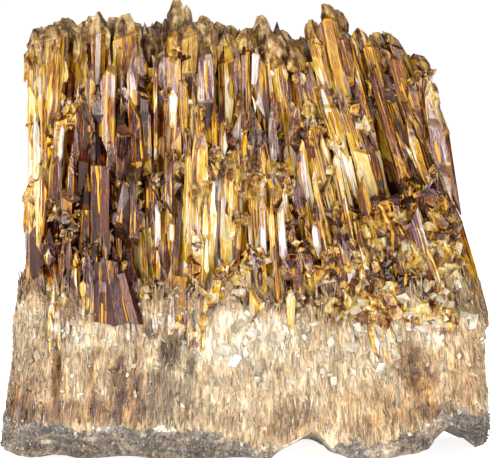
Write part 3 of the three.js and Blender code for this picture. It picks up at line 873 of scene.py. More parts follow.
def heart_nature(middle):
    """A tone of 0.38 plus the clouds, full streaks, no dullness and a little painted lilac reflection."""
    return rows_of(0.38 + cloud_tone(CLOUDS, middle[:, 0], middle[:, 2]), 1.0, 0.0, 0.1)


points, faces = closed_body(heart_rings())
heart = make_piece("cloudy_heart", points, faces, heart_nature(points[faces].mean(axis=1)),
                   run_up(points, faces, 1.0))

# %% [markdown]
# ## Grown tips
# Where the cavity was open the columns ended in points, and there the last growth is dull and taupe,
# blunt, and rough with tiny steps. Each tip is a cap of its own over the end of its column, with eight
# lesser ones beside it, or four wider ones on the right. Many small caps look like one stepped tip, and
# they need no joining.

# %% Caps on the grown ends
CAPS_PER_TIP, CAPS_PER_BLUNT_TIP = 9, 5
BLUNT_FROM_X = 4


def tip_caps():
    """Rows of (number, x, y, lean x, lean y, radius, low, high). The first cap of each tip stands on its
    axis. The lesser ones stand round it, and end up to 6 mm lower."""
    grown = columns[columns[:, TIP] > 0]
    each = np.repeat(grown, CAPS_PER_TIP, axis=0)
    k = np.tile(np.arange(CAPS_PER_TIP), len(grown))
    n = each[:, NUMBER] * CAPS_PER_TIP + k + CAPS_FROM
    main = k == 0
    angle = 6.283 * chance(n, 1)
    blunt = each[:, FOOT_X] > BLUNT_FROM_X
    off = np.where(main, 0, each[:, RADIUS] * (0.3 + 0.55 * chance(n, 2)))
    share = np.where(main, 0.75 + 0.2 * chance(n, 3), 0.2 + 0.12 * blunt + 0.28 * chance(n, 3))
    high = each[:, HIGH] - np.where(main, 0, 0.5 + 5.5 * chance(n, 4)) + 0.08
    depth = np.where(main, 4 + 5 * chance(n, 5), 2 + 4 * chance(n, 5))
    rows = rows_of(n, each[:, FOOT_X] + np.cos(angle) * off, each[:, FOOT_Y] + np.sin(angle) * off,
                   each[:, LEAN_X], each[:, LEAN_Y], each[:, RADIUS] * share, high - depth, high)
    return rows[~blunt | (k < CAPS_PER_BLUNT_TIP)]


caps = tip_caps()
print("caps:", len(caps))

# %% [markdown]
# A cap is a tube like a blade, but its rings all follow one profile, which is widest low down and drawn
# in to a point.

# %% From a cap to a surface
TIP_PROFILE = [(0.0, 0.6), (0.3, 0.96), (0.58, 0.9), (0.79, 0.66), (0.93, 0.36)]  # (share of height, radius)
TIP_SIDES = 6


def tip_surfaces(caps):
    """(caps, 32, 3) points: rings of six jittered corners that follow TIP_PROFILE, then the two end points.
    A corner sits at axis(z) + radius * share(ring) * (cos a, flatness * sin a)."""
    n, fx, fy, lx, ly, r, low, high = (caps[:, i, None] for i in range(8))
    k = np.arange(TIP_SIDES)[None, :]
    angle = 6.283 * (k + spread(n, 20 + k, 0.3)) / TIP_SIDES + 3 * chance(n, 6)
    flatness = 0.65 + 0.35 * chance(n, 7)

    def at_height(z, dx, dy):
        return np.stack([fx + lx * (z - ROOT_HEIGHT) + dx, fy + ly * (z - ROOT_HEIGHT) + dy, z], axis=-1)

    rings = []
    for j, (at, wide) in enumerate(TIP_PROFILE):
        z = low + (high - low) * at + spread(n, 40 + 9 * j + k, 0.3) * r * (j > 0)
        reach = r * wide * (1 + spread(n, 120 + 9 * j + k, 0.07) + spread(n, 31 + k, 0.2))
        rings.append(at_height(z, np.cos(angle) * reach, np.sin(angle) * reach * flatness))
    ends = [at_height(low, 0 * r, 0 * r), at_height(high, spread(n, 8, 0.2) * r, 0 * r)]
    return np.concatenate(rings + ends, axis=1)


print("caps, points of each, and x y z:", tip_surfaces(caps).shape)

# %% [markdown]
# A tip is dullest at the very top and clears downwards. On the right the tips stay glassier, golden
# instead of taupe.

# %% The dull tips
def tip_nature(number, side, middle):
    """Tone 0.38 plus chance and half the clouds. Dullness 1.05 less a fourteenth for each millimetre below
    the tops, not under 0.3, and times 0.4 to 0.9 past x = 10."""
    x = middle[:, 0]
    tone = (0.38 + spread(number, 60, 0.14) + spread(number, 61 + side, 0.16)
            + 0.5 * cloud_tone(CLOUDS, x, middle[:, 2]))
    dull = np.clip(1.05 - (along(CRYSTAL_TOPS, x) - middle[:, 2]) / 14, 0.3, 1)
    dull = dull * np.where(x > 10, 0.4 + 0.5 * chance(number, 63), 1)
    return rows_of(tone, 0.8, dull, 0.1)


points = tip_surfaces(caps).reshape(-1, 3)
one_cap = tube_faces(len(TIP_PROFILE), TIP_SIDES)
faces = repeated(one_cap, len(caps), len(TIP_PROFILE) * TIP_SIDES + 2)
number = np.repeat(caps[:, NUMBER], len(one_cap))
side = np.tile(np.arange(len(one_cap)) % TIP_SIDES, len(caps))
tips = make_piece("dull_tips", points, faces, tip_nature(number, side, points[faces].mean(axis=1)),
                  run_up(points, faces, 0.8, 31 * chance(number, 62)[:, None]))

# %% [markdown]
# ## Broken rhombs
# Calcite never breaks smoothly across. The end of every broken column is a heap of small rhombs, tilted
# boxes with angles near 75 and 105 degrees. They run round the rim of each end as a crumbling zigzag,
# lie thickest along the ledges, and make up the rubble low on the right. They could be scattered copies
# of one mesh, but worked out as one array each is different, and there is one piece to dress.

# %% Many rhombs at once
RHOMB_CORNERS = np.array([(i, j, k) for i in (-1, 1) for j in (-1, 1) for k in (-1, 1)], float)
RHOMB_FACES = np.array([
    (0, 1, 3), (0, 3, 2), (4, 6, 7), (4, 7, 5), (0, 4, 5), (0, 5, 1), (2, 3, 7), (2, 7, 6), (0, 2, 6),
    (0, 6, 4), (1, 5, 7), (1, 7, 3)])
SHEAR = 0.27  # the tangent of 15 degrees, which takes a right angle to 75


def turned(p, q, angle):
    """The pair (p, q) turned in its own plane."""
    return p * np.cos(angle) - q * np.sin(angle), p * np.sin(angle) + q * np.cos(angle)


def rhombs(name, number, middle, size, tone_of, dull, second_nature=None):
    """Sheared and turned boxes with jittered corners: corner = turn * shear * (+-1, +-1, +-1) * size.
    Their second nature is 0.5 unless a function of middle and number gives it."""
    count = len(number)
    a, b, c = (spread(number, 400 + i, reach)[:, None] for i, reach in ((0, 0.7), (1, 0.7), (2, 3.1)))
    stretch = [0.6 + more * chance(number, 403 + i) for i, more in enumerate((0.6, 0.6, 0.8))]
    p = RHOMB_CORNERS[None] * (size[:, None] * np.stack(stretch, axis=1))[:, None, :]
    p = p * (1 + spread(number[:, None, None] * 8 + np.arange(8)[None, :, None], 430 + np.arange(3), 0.35))
    x, y, z = (p[..., i] + SHEAR * p[..., (i + 1) % 3] for i in range(3))
    y, z = turned(y, z, a)
    x, z = turned(x, z, b)
    x, y = turned(x, y, c)
    points = (np.stack([x, y, z], axis=-1) + middle[:, None, :]).reshape(-1, 3)
    faces = repeated(RHOMB_FACES, count, len(RHOMB_CORNERS))
    face_number = np.repeat(number, len(RHOMB_FACES))
    side = np.tile(np.arange(len(RHOMB_FACES)) // 2, count)
    face_middle = points[faces].mean(axis=1)
    tone = tone_of(face_middle, face_number) + spread(face_number, 411 + side, 0.1)
    second = np.clip(second_nature(face_middle, face_number), 0, 1) if second_nature else 0.5
    nature = rows_of(tone, second, np.repeat(np.broadcast_to(dull, count), len(RHOMB_FACES)), 0.1)
    run = run_up(points, faces, 0.0, 3 * chance(face_number, 5)[:, None])
    return make_piece(name, points, faces, nature, run)


print("corners and triangles of a rhomb:", len(RHOMB_CORNERS), len(RHOMB_FACES))

# %% [markdown]
# Their places come from where a real specimen crumbles: the rim of each broken end, the three ledges, and
# a field of rubble. Sizes go with the square or the cube of a chance, so that crumbs far outnumber lumps.

# %% Places round the broken ends
CRUMBS_PER_RIM = 9


def rim_places():
    """Crumbs round the rim of every broken main column: each sits between two corners of its last ring,
    moved in by up to 0.7 of the way to the middle."""
    broken = columns[columns[:, TIP] == 0]
    rims = blade_surfaces(broken)[:, (RINGS - 1) * SIDES : RINGS * SIDES]
    which = np.tile(np.arange(CRUMBS_PER_RIM), len(broken))
    row = np.repeat(np.arange(len(broken)), CRUMBS_PER_RIM)
    n = broken[row, NUMBER] * 17 + which + RIM_FROM
    k = which % SIDES
    t = chance(n, 1)[:, None]
    place = rims[row, k] * (1 - t) + rims[row, (k + 1) % SIDES] * t
    place = place + (rims.mean(axis=1)[row] - place) * (0.7 * chance(n, 2) ** 2)[:, None]
    place[:, 2] += spread(n, 3, 0.35)
    return n, place, 0.18 + 0.62 * chance(n, 4) ** 3


rim_crumbs = rim_places()
print("crumbs round broken ends:", len(rim_crumbs[0]))

# %% [markdown]
# Rubble lies where the fracture ran across the columns: in thin lines along the ledges, and as a coarser
# field low on the right.

# %% Places along the ledges and in the rubble
RUBBLE_COUNT, COARSE_SHARE = 1700, 0.24


def on_ledge(n, x, reach):
    """A height near a chance ledge, with a ripple of its own."""
    j = np.floor(3 * chance(n, 2))
    return ledge_height(x, j) + spread(n, 5, reach) + 1.5 * np.sin(x * 1.1 + j)


def rubble_places():
    """A scatter along the three ledges, and a field of coarser lumps low on the right. It is thinner on the
    left, where the columns are whole."""
    n = RUBBLE_FROM + np.arange(RUBBLE_COUNT)
    coarse = chance(n, 3) < COARSE_SHARE
    x = -39 + 78 * chance(n, 1)
    z = np.where(coarse, 26 + 19 * chance(n, 4), on_ledge(n, x, 1.0))
    x = held_inside(np.where(coarse, 14 + 25 * chance(n, 6) ** 0.8, x), z, 2)
    y = front_face(x, z, n) + 0.4 + 1.6 * chance(n, 7)
    size = np.where(coarse, 0.45 + 0.9 * chance(n, 8) ** 2, 0.16 + 0.5 * chance(n, 8) ** 3)
    keep = (x > -20) | (chance(n, 9) < 0.4)
    return n[keep], np.stack([x, y, z], axis=1)[keep], size[keep]


def rhomb_tone(middle, number):
    """Rubble is a little paler and far more mixed than the columns it lies on: 0.56 plus half the clouds
    and up to 0.28 of chance."""
    clouds = cloud_tone(CLOUDS, middle[:, 0], middle[:, 2])
    return 0.56 + 0.5 * clouds + spread(number, 410, 0.28)


places = [np.concatenate(pair) for pair in zip(rim_crumbs, rubble_places())]
rhomb_piece = rhombs("broken_rhombs", *places, rhomb_tone, 0.4)

# %% [markdown]
# Forty lumps catch the eye: bright ones, painted light where a ledge breaks into the light, and dark ones,
# painted as the shade under it. They are placed one by one, and each has cracked into nine rhombs.

# %% Lumps that catch the eye
PIECES_PER_LUMP = 9
# As (x, height, half size, tone with painted light or shade, dullness).
SHOWN_LUMPS = np.array([
    (2.4, 50, 1.9, 0.66, 0.3), (-0.2, 49.4, 1.3, 0.6, 0.3), (1.7, 53.2, 1.2, 0.25, 0.5),
    (-2.9, 53.6, 1.2, 0.4, 0.6), (11.4, 63, 1.7, 0.74, 0.4), (12.4, 60.6, 1.2, 0.7, 0.5),
    (16.6, 57.2, 1.4, 0.86, 0.4), (21.4, 60.6, 1.2, 0.8, 0.3), (28.4, 43.9, 1.2, 0.84, 0.3),
    (31.8, 41.6, 1.2, 0.16, 0.4), (22, 40.5, 2.1, 0.64, 0.2), (19.6, 39.4, 1.4, 0.6, 0.1),
    (30, 37, 1.7, 0.72, 0.2), (32.9, 37.8, 1.1, 0.92, 0.3), (25.4, 31, 1.6, 0.8, 0.2),
    (28.9, 32.8, 1.5, 0.1, 0.1), (38.4, 32, 1.3, 0.92, 0.3), (23.2, 28, 1.6, 0.84, 0.1),
    (32, 27.2, 2.0, 0.88, 0.2), (35.4, 26.4, 1.7, 0.86, 0.2), (29.6, 27.6, 1.4, 0.82, 0.2),
    (-35, 61.5, 1.0, 0.3, 1), (-31.9, 63.6, 1.3, 0.68, 0.3), (-31.7, 46.6, 1.4, 0.5, 0.8),
    (-34.2, 45.2, 1.0, 0.6, 0.6), (-19.2, 49, 0.6, 0.9, 0.2), (-29.2, 43.5, 0.8, 0.85, 0.2),
    (-11, 54.4, 0.9, 0.7, 0.4), (-13.4, 55.6, 1.0, 0.4, 0.6), (-8.4, 49.5, 0.9, 0.66, 0.4),
    (-11.8, 73.4, 1.6, 0.5, 0.5), (-38.6, 61, 1, 0.6, 0.4), (8.6, 49.6, 1.2, 0.62, 0.5),
    (25.5, 36, 1.2, 0.12, 0.1), (17, 44, 1.4, 0.2, 0.2), (14.6, 42.6, 1.2, 0.3, 0.3),
    (24.5, 46, 1.2, 0.2, 0.3), (-8.6, 39.2, 1.1, 0.66, 0.5), (-1.2, 44.4, 0.9, 0.6, 0.6),
    (6.8, 53, 1.1, 0.5, 0.6)])
# The tone of each lump paints the light or shade at its place.
SHOWN_LUMP_LIGHT_AND_SHADE = SHOWN_LUMPS[:, 3]


def shown_lumps():
    """Number, middle and half size of the rhombs of each lump, and their dullness. They lie within 0.75 of
    its half size round its middle, on the face that the eye meets."""
    x, z, size, _, dull = np.repeat(SHOWN_LUMPS, PIECES_PER_LUMP, axis=0).T
    n = LUMPS_FROM + np.arange(len(x))
    x = held_inside(x + spread(n, 1, 0.75) * size, z, 2)
    y = front_face(x, z - size, 0 * n) + (0.7 + spread(n, 2, 0.5)) * size
    z = z + spread(n, 3, 0.75) * size
    return n, np.stack([x, y, z], axis=1), size * (0.3 + 0.35 * chance(n, 4)), dull


def lump_light_and_shade(middle, number):
    """The tone of its lump, with its painted light or shade, a little down, with a change for each rhomb."""
    lump = ((number - LUMPS_FROM) // PIECES_PER_LUMP).astype(int)
    return SHOWN_LUMP_LIGHT_AND_SHADE[lump] - 0.06 + spread(number, 5, 0.16)


*lump_places, lump_dullness = shown_lumps()
lumps = rhombs("shown_lumps", *lump_places, lump_light_and_shade, lump_dullness)

# %% [markdown]
# Between the crumbs stand short stubs of columns, snapped off just above a ledge. Their broken ends slope
# to the front, so they show as small roofs, painted darker than their sides as shade. They are blades like
# the others, only short and thrown about.

# %% Broken stubs
STUB_COUNT, RUBBLE_SHARE = 520, 0.35


def ledge_stubs():
    """Stubs 1.5 to 9 mm long along the ledges and in the rubble, in the same kind of rows as the blades."""
    n = STUBS_FROM + np.arange(STUB_COUNT)
    rubble = chance(n, 3) < RUBBLE_SHARE
    x = np.where(rubble, 10 + 30 * chance(n, 6) ** 0.8, -40 + 78 * chance(n, 1))
    z = np.where(rubble, 26 + 23 * chance(n, 4), on_ledge(n, x, 1.3))
    x = held_inside(x, z, 2.4)
    y = front_face(x, z - 2, n) + 0.9 + 1.4 * chance(n, 7)
    radius = 0.6 + 1.6 * chance(n, 8) ** 2
    length = radius * (1.6 + 2.2 * chance(n, 9))
    lean = np.tan(np.radians(along(LEAN, x) * 0.7 + spread(n, 10, 16)))
    return rows_at(n, x, y, z, lean, spread(n, 11, 0.25), radius, z - length, z + 0.6)


STUB = {"waist": 0.15, "bump": 0.1, "wedge": 0.3, "fangs": 0.0, "flat_on": True, "sharp": 1.3, "roofs": 0.7}
# Their ends are painted darker still, as shade.
stubs = bladed("broken_stubs", ledge_stubs(), painted_end_shade=0.24, **STUB)

# %% [markdown]
# ## The pale layer
# Under the columns the calcite grew as fibres too thin to see one by one, which makes it silky and cream.
# Its sides are broken along the fibres, so they are fluted. The body is a lumpy block whose sides are
# moved in and out by noise, a grid that is easy to keep closed, and thousands of small needles lie on it.
# The rock below is broken off along the same sides, so it shares the function.

# %% The side of the block
# Hollows in the front, as (x, height, half width, half height, depth).
HOLLOWS = [(-12.8, 21.5, 3.2, 4, 2.2), (31.5, 17, 4, 4.5, 2.0), (9, 11, 3, 3, 0.8), (-33.5, 15, 1.1, 7, 0.8)]
POINTS_AROUND = 500


def block_side(u, v, z, turn, proud=0.0):
    """A point on the side of the pale layer or the crust. u and v name the place round it, and turn is the
    same place as a fraction of the way round. The side is drawn in by 1.15 mm, flutes 1.5 and 4.5 mm wide,
    lumps 13 mm wide, finer noise and the hollows, and stands proud millimetres out."""
    flute = 0.45 * noise(turn * 167, z / 11, 11, 167) + 0.6 * noise(turn * 56, z / 9, 12, 56)
    lump = 0.9 * noise(turn * 19, z / 8, 13, 19)
    fine = 0.2 * noise(turn * 500, z / 4, 14, 500) + 0.25 * noise(turn * 250, z / 6, 15, 250)
    inset = 1.15 + (flute + lump) * 0.6 + fine + 0.02 * z - proud
    inset = inset - (0.5 + 0.7 * noise(turn * 80, z / 6, 16, 80)) * np.clip((z - 20) / 6, 0, 1)
    half = np.where(u < 0, -along(LEFT_EDGE, z), along(RIGHT_EDGE, z))
    x = u * half - np.sign(u) * np.abs(u) ** 6 * inset * 0.75
    for hx, hz, half_w, half_h, depth in HOLLOWS:
        inside = 1 - ((x - hx) / half_w) ** 2 - ((z - hz) / half_h) ** 2
        inset = inset + depth * np.clip(inside, 0, 1) ** 1.5 * (v < 0)
    return x, v * HALF_DEPTH - np.sign(v) * np.abs(v) ** 3 * inset


print("hollows in the front:", len(HOLLOWS))

# %% [markdown]
# A layer is rings of that side between two heights. Its underside and its top are more rings, shrinking
# to the middle, because one fan of long triangles would leave them flat.

# %% A layer between two heights
def underside(x, y):
    """Height of the underside: broken away towards the front, and flat on the table further back."""
    return np.maximum(0, along(FRONT_FOOT, x) - UNDERCUT_SLOPE * (y + HALF_DEPTH))


def layer_body(low_of, high_of, around, levels, proud=0.0, across=14):
    """Rings of a layer between two heights, which are functions of x and y. The underside and the top are
    discs of rings that shrink to the middle in even steps."""
    u, v = plan_outline(around)
    turn = np.arange(around) / around
    t = np.linspace(0, 1, levels)[:, None]
    x, y = block_side(u, v, 15 + 0 * t[:1], turn, proud)
    z_low, z_high = low_of(x, y), high_of(x, y)
    z = z_low + (z_high - z_low) * t
    x, y = block_side(u, v, z, turn, proud)
    side = np.stack(np.broadcast_arrays(x, y, z), axis=-1)
    shrink = np.linspace(1, 0, across + 1)[1:-1, None]

    def disc(edge, height_of):
        dx, dy = edge[:, 0] * shrink, edge[:, 1] * shrink
        return np.stack([dx, dy, height_of(dx, dy)], axis=-1)

    return np.concatenate([disc(side[0], low_of)[::-1], side, disc(side[-1], high_of)])


def body_piece(name, points, faces, tone, warm):
    """A piece of one of the two lower layers, whose second number is its warmth."""
    return make_piece(name, points, faces, rows_of(tone, np.clip(warm, 0, 1), 0.0, 0.0),
                      run_up(points, faces, 0.7))


print("the front edge at its two arches:", underside(np.array([12.1, 35.5]), -HALF_DEPTH).round(1), "mm up")

# %% [markdown]
# The fibres aren't one colour. Where rock dust settled they are tan to brown, where they grew late and
# fast they are white, and where they pass into columns they take on honey. So each facet has a tone and a
# warmth, and both follow clouds that are placed on the front, with slow waves all round. The darker, warmer
# clouds in the hollows at x = -13 and x = 31 and just over the two arches are painted shade.

# %% Colour of the pale layer
# Darker or lighter fibres, and painted shade in the hollows at x = -13 and x = 31 and over the two arches,
# as (x, height, half width, half height, change of tone).
PALE_TONE_AND_SHADE_CLOUDS = [
    (-34, 15, 1.1, 8, -0.34), (-27.6, 13, 0.9, 6, -0.3), (-22.5, 14, 1.4, 7, -0.3),
    (-19.5, 17, 1.2, 8, -0.2), (-13.5, 20, 2.4, 3.4, -0.4), (-11, 23.5, 1.6, 2.6, -0.4),
    (-10, 18, 1.2, 3, -0.3), (-17, 24, 2, 2, -0.2), (-16, 11, 9, 6, -0.16), (-40, 9, 5, 4, -0.18),
    (32.5, 14.5, 3, 4, -0.26), (29.5, 18.5, 3, 5, -0.22), (10, 9, 5, 3, -0.2), (-1, 12, 7, 3, -0.05),
    (23, 10, 8, 4, -0.06), (0, 23, 11, 6, 0.24), (20, 21, 8, 6, 0.1), (-27, 9.5, 13, 2.6, -0.26),
    (-17, 13, 6, 5.5, -0.16), (-42, 9, 3, 4, -0.1), (-25, 18.5, 5, 4, -0.08), (-27, 23, 5, 3, 0.14),
    (34, 24, 5, 4, 0.18), (6, 16, 8, 4, 0.1), (-9, 27, 4, 3, -0.2), (-33, 27, 3, 3, -0.1),
    (9, 5, 5, 2.2, -0.2), (34, 9.5, 4, 2, -0.3), (-38, 12, 8, 8, -0.08), (30, 6, 12, 4, -0.1)]
# Warmer or whiter fibres, and the honey of painted shade in the fold at x = 31 and over the left arch,
# as (x, height, half width, half height, change of warmth).
WARMTH_AND_SHADE_CLOUDS = [
    (-41, 9, 5, 8, 0.4), (-38, 18, 5, 6, 0.15), (-34, 15, 1.6, 8, 0.3), (-25, 8, 8, 3.5, 0.3),
    (0, 22, 12, 6, -0.35), (22, 22, 9, 6, -0.1), (24, 9, 12, 6, 0.3), (36, 16, 6, 6, 0.35),
    (31, 14, 3, 5, 0.3), (8, 7, 8, 4, 0.35), (-12, 20, 5, 6, -0.3), (-27, 22, 6, 4, -0.1),
    (4, 12, 8, 4, 0.1), (32, 25, 5, 4, -0.35), (40, 18, 5, 10, 0.35)]


def up_in_crystals(x, z):
    """0 inside the pale layer, rising to 1 over the 5 mm round its top, where the fibres meet the columns."""
    return np.clip((z - along(PALE_TOP, x) + 2) / 5, 0, 1)


def pale_tone(middle, number):
    """0.32 plus 0.7 of the clouds on the front, which hold painted shade in the hollows and over the arches,
    torn into strips, plus waves of 5 and of 2 mm, less 0.16 up among the crystals."""
    x, y, z = middle.T
    torn = 1 + 0.8 * noise(x / 0.8 + y / 0.9, z / 4.5, 33)
    return (0.32 + 0.7 * cloud_tone(PALE_TONE_AND_SHADE_CLOUDS, x, z) * (y < 0) * torn
            + 0.1 * noise(x / 5 + y / 6, z / 4, 31) + 0.11 * noise(x / 1.7 + y / 1.9, z / 2.2, 32)
            + spread(number, 420, 0.06) - 0.16 * up_in_crystals(x, z))


def warmth(middle, number):
    """0 where the fibres are white to grey, 1 where they are honey tan: 0.14 plus the clouds, 1.6 times the
    darker clouds at both sides, which are brown stains and, in the fold at x = 31 and over the right arch,
    painted shade, half the way up into the crystals, waves and chance."""
    x, y, z = middle.T
    # Darker clouds at both sides: brown stains, and painted shade in the fold at x = 31 and over the right
    # arch.
    stain_and_shade = np.clip(-cloud_tone(PALE_TONE_AND_SHADE_CLOUDS, x, z), 0, 0.35) * (y < 0) * ((x < -18) | (x > 15))
    return (0.14 + 0.6 * cloud_tone(WARMTH_AND_SHADE_CLOUDS, x, z) * (y < 0) + 0.12 * noise(x / 3 + y / 4, z / 3, 35)
            + 1.6 * stain_and_shade + 0.5 * up_in_crystals(x, z)
            + 0.1 * noise(x / 0.8 + y / 0.9, z / 1.4, 36) + spread(number, 425, 0.25))


print("clouds of tone and of warmth:", len(PALE_TONE_AND_SHADE_CLOUDS), len(WARMTH_AND_SHADE_CLOUDS))

# %% [markdown]
# The block reaches from just inside the rock up to a ragged top between the feet of the columns. The
# raggedness has two sizes, as torn fibres do.

# %% The block of fibres
def pale_low(x, y):
    """1.6 mm below the top of the rock, and always above the underside."""
    return np.maximum(along(CRUST_TOP, x) - 1.6, underside(x, y) + 0.2)


def pale_high(x, y):
    """1.2 mm above the profile, with peaks 2.3 and 0.7 mm apart."""
    return along(PALE_TOP, x) + 1.2 + 2.4 * noise(x / 2.3, y / 2.3, 21) + 1.4 * noise(x / 0.7, y / 0.7, 22)


points, faces = closed_body(layer_body(pale_low, pale_high, POINTS_AROUND, 46))
middle = points[faces].mean(axis=1)
pale_body = body_piece("fibrous_calcite", points, faces, pale_tone(middle, np.arange(len(faces))),
                       warmth(middle, np.zeros(len(faces))))

# %% [markdown]
# What lies on the block needs places on its side, and the way out of it there, to lie along it. Both come
# from the same function as the side itself, at a chance place round it and a chance height.

# %% Places on the side of the block
def unit(vectors):
    """The vectors divided by their lengths."""
    return vectors / (np.linalg.norm(vectors, axis=1)[:, None] + 1e-9)


def side_places(n, low_z, high_z):
    """(place, out): points on the side, and unit vectors that point out of it."""
    s = chance(n, 1) * POINTS_AROUND
    ring_u, ring_v = plan_outline(POINTS_AROUND)
    wrapped = np.arange(-1, POINTS_AROUND + 1)
    u = np.interp(s, wrapped, ring_u[wrapped % POINTS_AROUND])
    v = np.interp(s, wrapped, ring_v[wrapped % POINTS_AROUND])
    z = low_z + (high_z - low_z) * chance(n, 2)
    x, y = block_side(u, v, z, s / POINTS_AROUND)
    out = np.stack([u * HALF_DEPTH * np.abs(u) ** 5, v * np.abs(v) ** 2 * HALF_DEPTH, 0 * u], axis=1)
    return np.stack([x, y, z], axis=1), unit(out)


print("a place, and the way out of it:", *(a.round(2) for a in side_places(np.array([1.0]), 5, 25)))

# %% [markdown]
# The real fibres are some hundredths of a millimetre thick, and thousands end free on the broken side.
# They are drawn as needles a quarter of a millimetre thick, because a render of the whole piece shows
# nothing thinner. Hair curves could do it too, but they have no solid form to hand on. A needle is a tube
# of two four-sided rings with a point at each end.

# %% Needles on the pale layer
NEEDLE_COUNT, NEEDLE_WIDTH, NEEDLE_LENGTH = 12400, 0.26, 3.2
NEEDLE_RINGS, NEEDLE_SIDES = 2, 4


def needles_on_side():
    """Number, middle and (needles, 10, 3) points. A needle leans with the columns above it, plus chance,
    and a few lie far over. corner = middle + axis * half * t + bend + (a * cos + b * sin) * width / 2,
    where a and b are the way along the side and the way out, turned a little about the axis."""
    n = NEEDLES_FROM + np.arange(NEEDLE_COUNT)
    center, out = side_places(n, 2.0, 33.0)
    keep = center[:, 2] > pale_low(center[:, 0], center[:, 1]) + 1.4
    n, center, out = n[keep], center[keep], out[keep]
    lean = np.tan(np.radians(0.75 * along(LEAN, center[:, 0])))
    far_over = spread(n, 11, 0.3) ** 3 * 12
    axis = np.stack([lean + spread(n, 3, 0.17) + far_over, spread(n, 4, 0.06), np.ones(len(n))], axis=1)
    axis += out * spread(n, 5, 0.1)[:, None]
    axis /= np.linalg.norm(axis, axis=1)[:, None]
    half = (NEEDLE_LENGTH * (0.3 + chance(n, 6) ** 1.5) / 2)[:, None]
    wide = (NEEDLE_WIDTH * (0.5 + 0.8 * chance(n, 7)))[:, None]
    side = unit(np.cross(axis, out))
    center = center + out * (wide * 0.1)
    turn = spread(n, 8, 0.8)[:, None]
    a = side * np.cos(turn) + out * np.sin(turn)
    b = out * np.cos(turn) - side * np.sin(turn)
    bend = side * (spread(n, 9, 0.12)[:, None] * half)
    rings = [center + axis * (half * t) + bend + (a * ca + b * cb) * (wide / 2)
             for t in (-0.45, 0.45) for ca, cb in ((1, 0), (0, 0.75), (-1, 0), (0, -0.75))]
    return n, center, np.stack([*rings, center - axis * half, center + axis * half], axis=1)


n, center, points = needles_on_side()
one_needle = tube_faces(NEEDLE_RINGS, NEEDLE_SIDES)[:, ::-1]
faces = repeated(one_needle, len(n), NEEDLE_RINGS * NEEDLE_SIDES + 2)
number, middle = np.repeat(n, len(one_needle)), np.repeat(center, len(one_needle), axis=0)
needles = body_piece("calcite_needles", points.reshape(-1, 3), faces,
                     pale_tone(middle, number) + 0.1 + spread(number, 10, 0.2), warmth(middle, number))

# %% [markdown]
# Where fibres broke across they left sugary crumbs, bright because they have many small faces. There are
# more of them high up, where the fibres pass into columns. They are rhombs like those above.

# %% Sugary crumbs on the pale layer
CRUMB_COUNT = 4600


def crumb_places():
    """Places on the side, above the rock and, but for the front between the columns, below the ragged top.
    A fifth of the higher ones right of x = -8 are coarse."""
    n = CRUMBS_FROM + np.arange(CRUMB_COUNT)
    place, out = side_places(n, 3, 33)
    x, y, z = place.T
    keep = (z > pale_low(x, y) + 0.8) & (chance(n, 12) < 0.35 + 0.65 * np.clip((z - 14) / 12, 0, 1))
    keep &= (x > along(LEFT_EDGE, z) + 1.5) & (x < along(RIGHT_EDGE, z) - 1.5)
    among_columns = (y < -17) & (np.abs(x) < 38)
    keep &= among_columns | (z < pale_high(x, y) + 0.3)
    coarse = (chance(n, 16) < 0.2) & (z > 14) & (x > -8)
    size = np.where(coarse, 0.3 + 0.5 * chance(n, 13), 0.14 + 0.36 * chance(n, 13) ** 3)
    return n[keep], (place + out * 0.12)[keep], size[keep]


def crumb_tone(middle, number):
    """Brighter than the block by 0.28, give or take 0.2."""
    return pale_tone(middle, number) + 0.28 + spread(number, 14, 0.2)


crumbs = rhombs("sugary_crumbs", *crumb_places(), crumb_tone, 0.3, warmth)

# %% [markdown]
# ## The rock crust
# The lowest few millimetres are the rock that the calcite grew on: grey, granular, with white sugary
# specks along parts of its top. It is a second block with the same side, so the two layers join without a
# step. At the two low arches of its broken front edge warmer stuff shows instead of grey rock.

# %% Shape and colour of the crust
# As (x, height, half width, half height, change of tone or warmth): the two arches, then patches of dark
# blue-grey rock or of white salt.
ARCHES = [(8.5, 5, 5.5, 4, 0.6), (34, 7, 2.5, 3, 0.3)]
ROCK_CLOUDS = [
    (-39, 6.6, 5, 1.8, -0.05), (-32, 6.2, 5, 1.3, -0.04), (-19.5, 7.0, 3.2, 0.8, 0.4),
    (-14, 6.3, 3, 0.7, 0.4), (-36, 4, 1.2, 0.5, 0.3), (-28, 4.4, 2, 0.4, 0.22), (31, 3, 4, 1.4, -0.06),
    (24, 2, 3, 1.2, 0.2), (42, 6, 2, 1.6, -0.06), (28, 2, 6, 2, 0.1)]


def crust_high(x, y):
    """The profile plus ragged noise 1.7 and 0.6 mm across, and at least 0.3 mm above the underside."""
    ragged = 0.9 * noise(x / 1.7, y / 1.7, 46) + 0.5 * noise(x / 0.6, y / 0.6, 47)
    return np.maximum(along(CRUST_TOP, x) + ragged, underside(x, y) + 0.3)


def rock_warmth(middle, number):
    """0 where the rock is blue-grey, 1 where it is taupe: 0.6 at its top and 0.1 more for each millimetre
    down, plus the arches, waves and chance."""
    x, y, z = middle.T
    below_top = crust_high(x, y) - z
    arch = cloud_tone(ARCHES, x, z) * (y < 0)
    return 0.6 + 0.1 * below_top + arch + 0.3 * noise(x / 4 + y / 4, z / 2, 45) + spread(number, 426, 0.3)


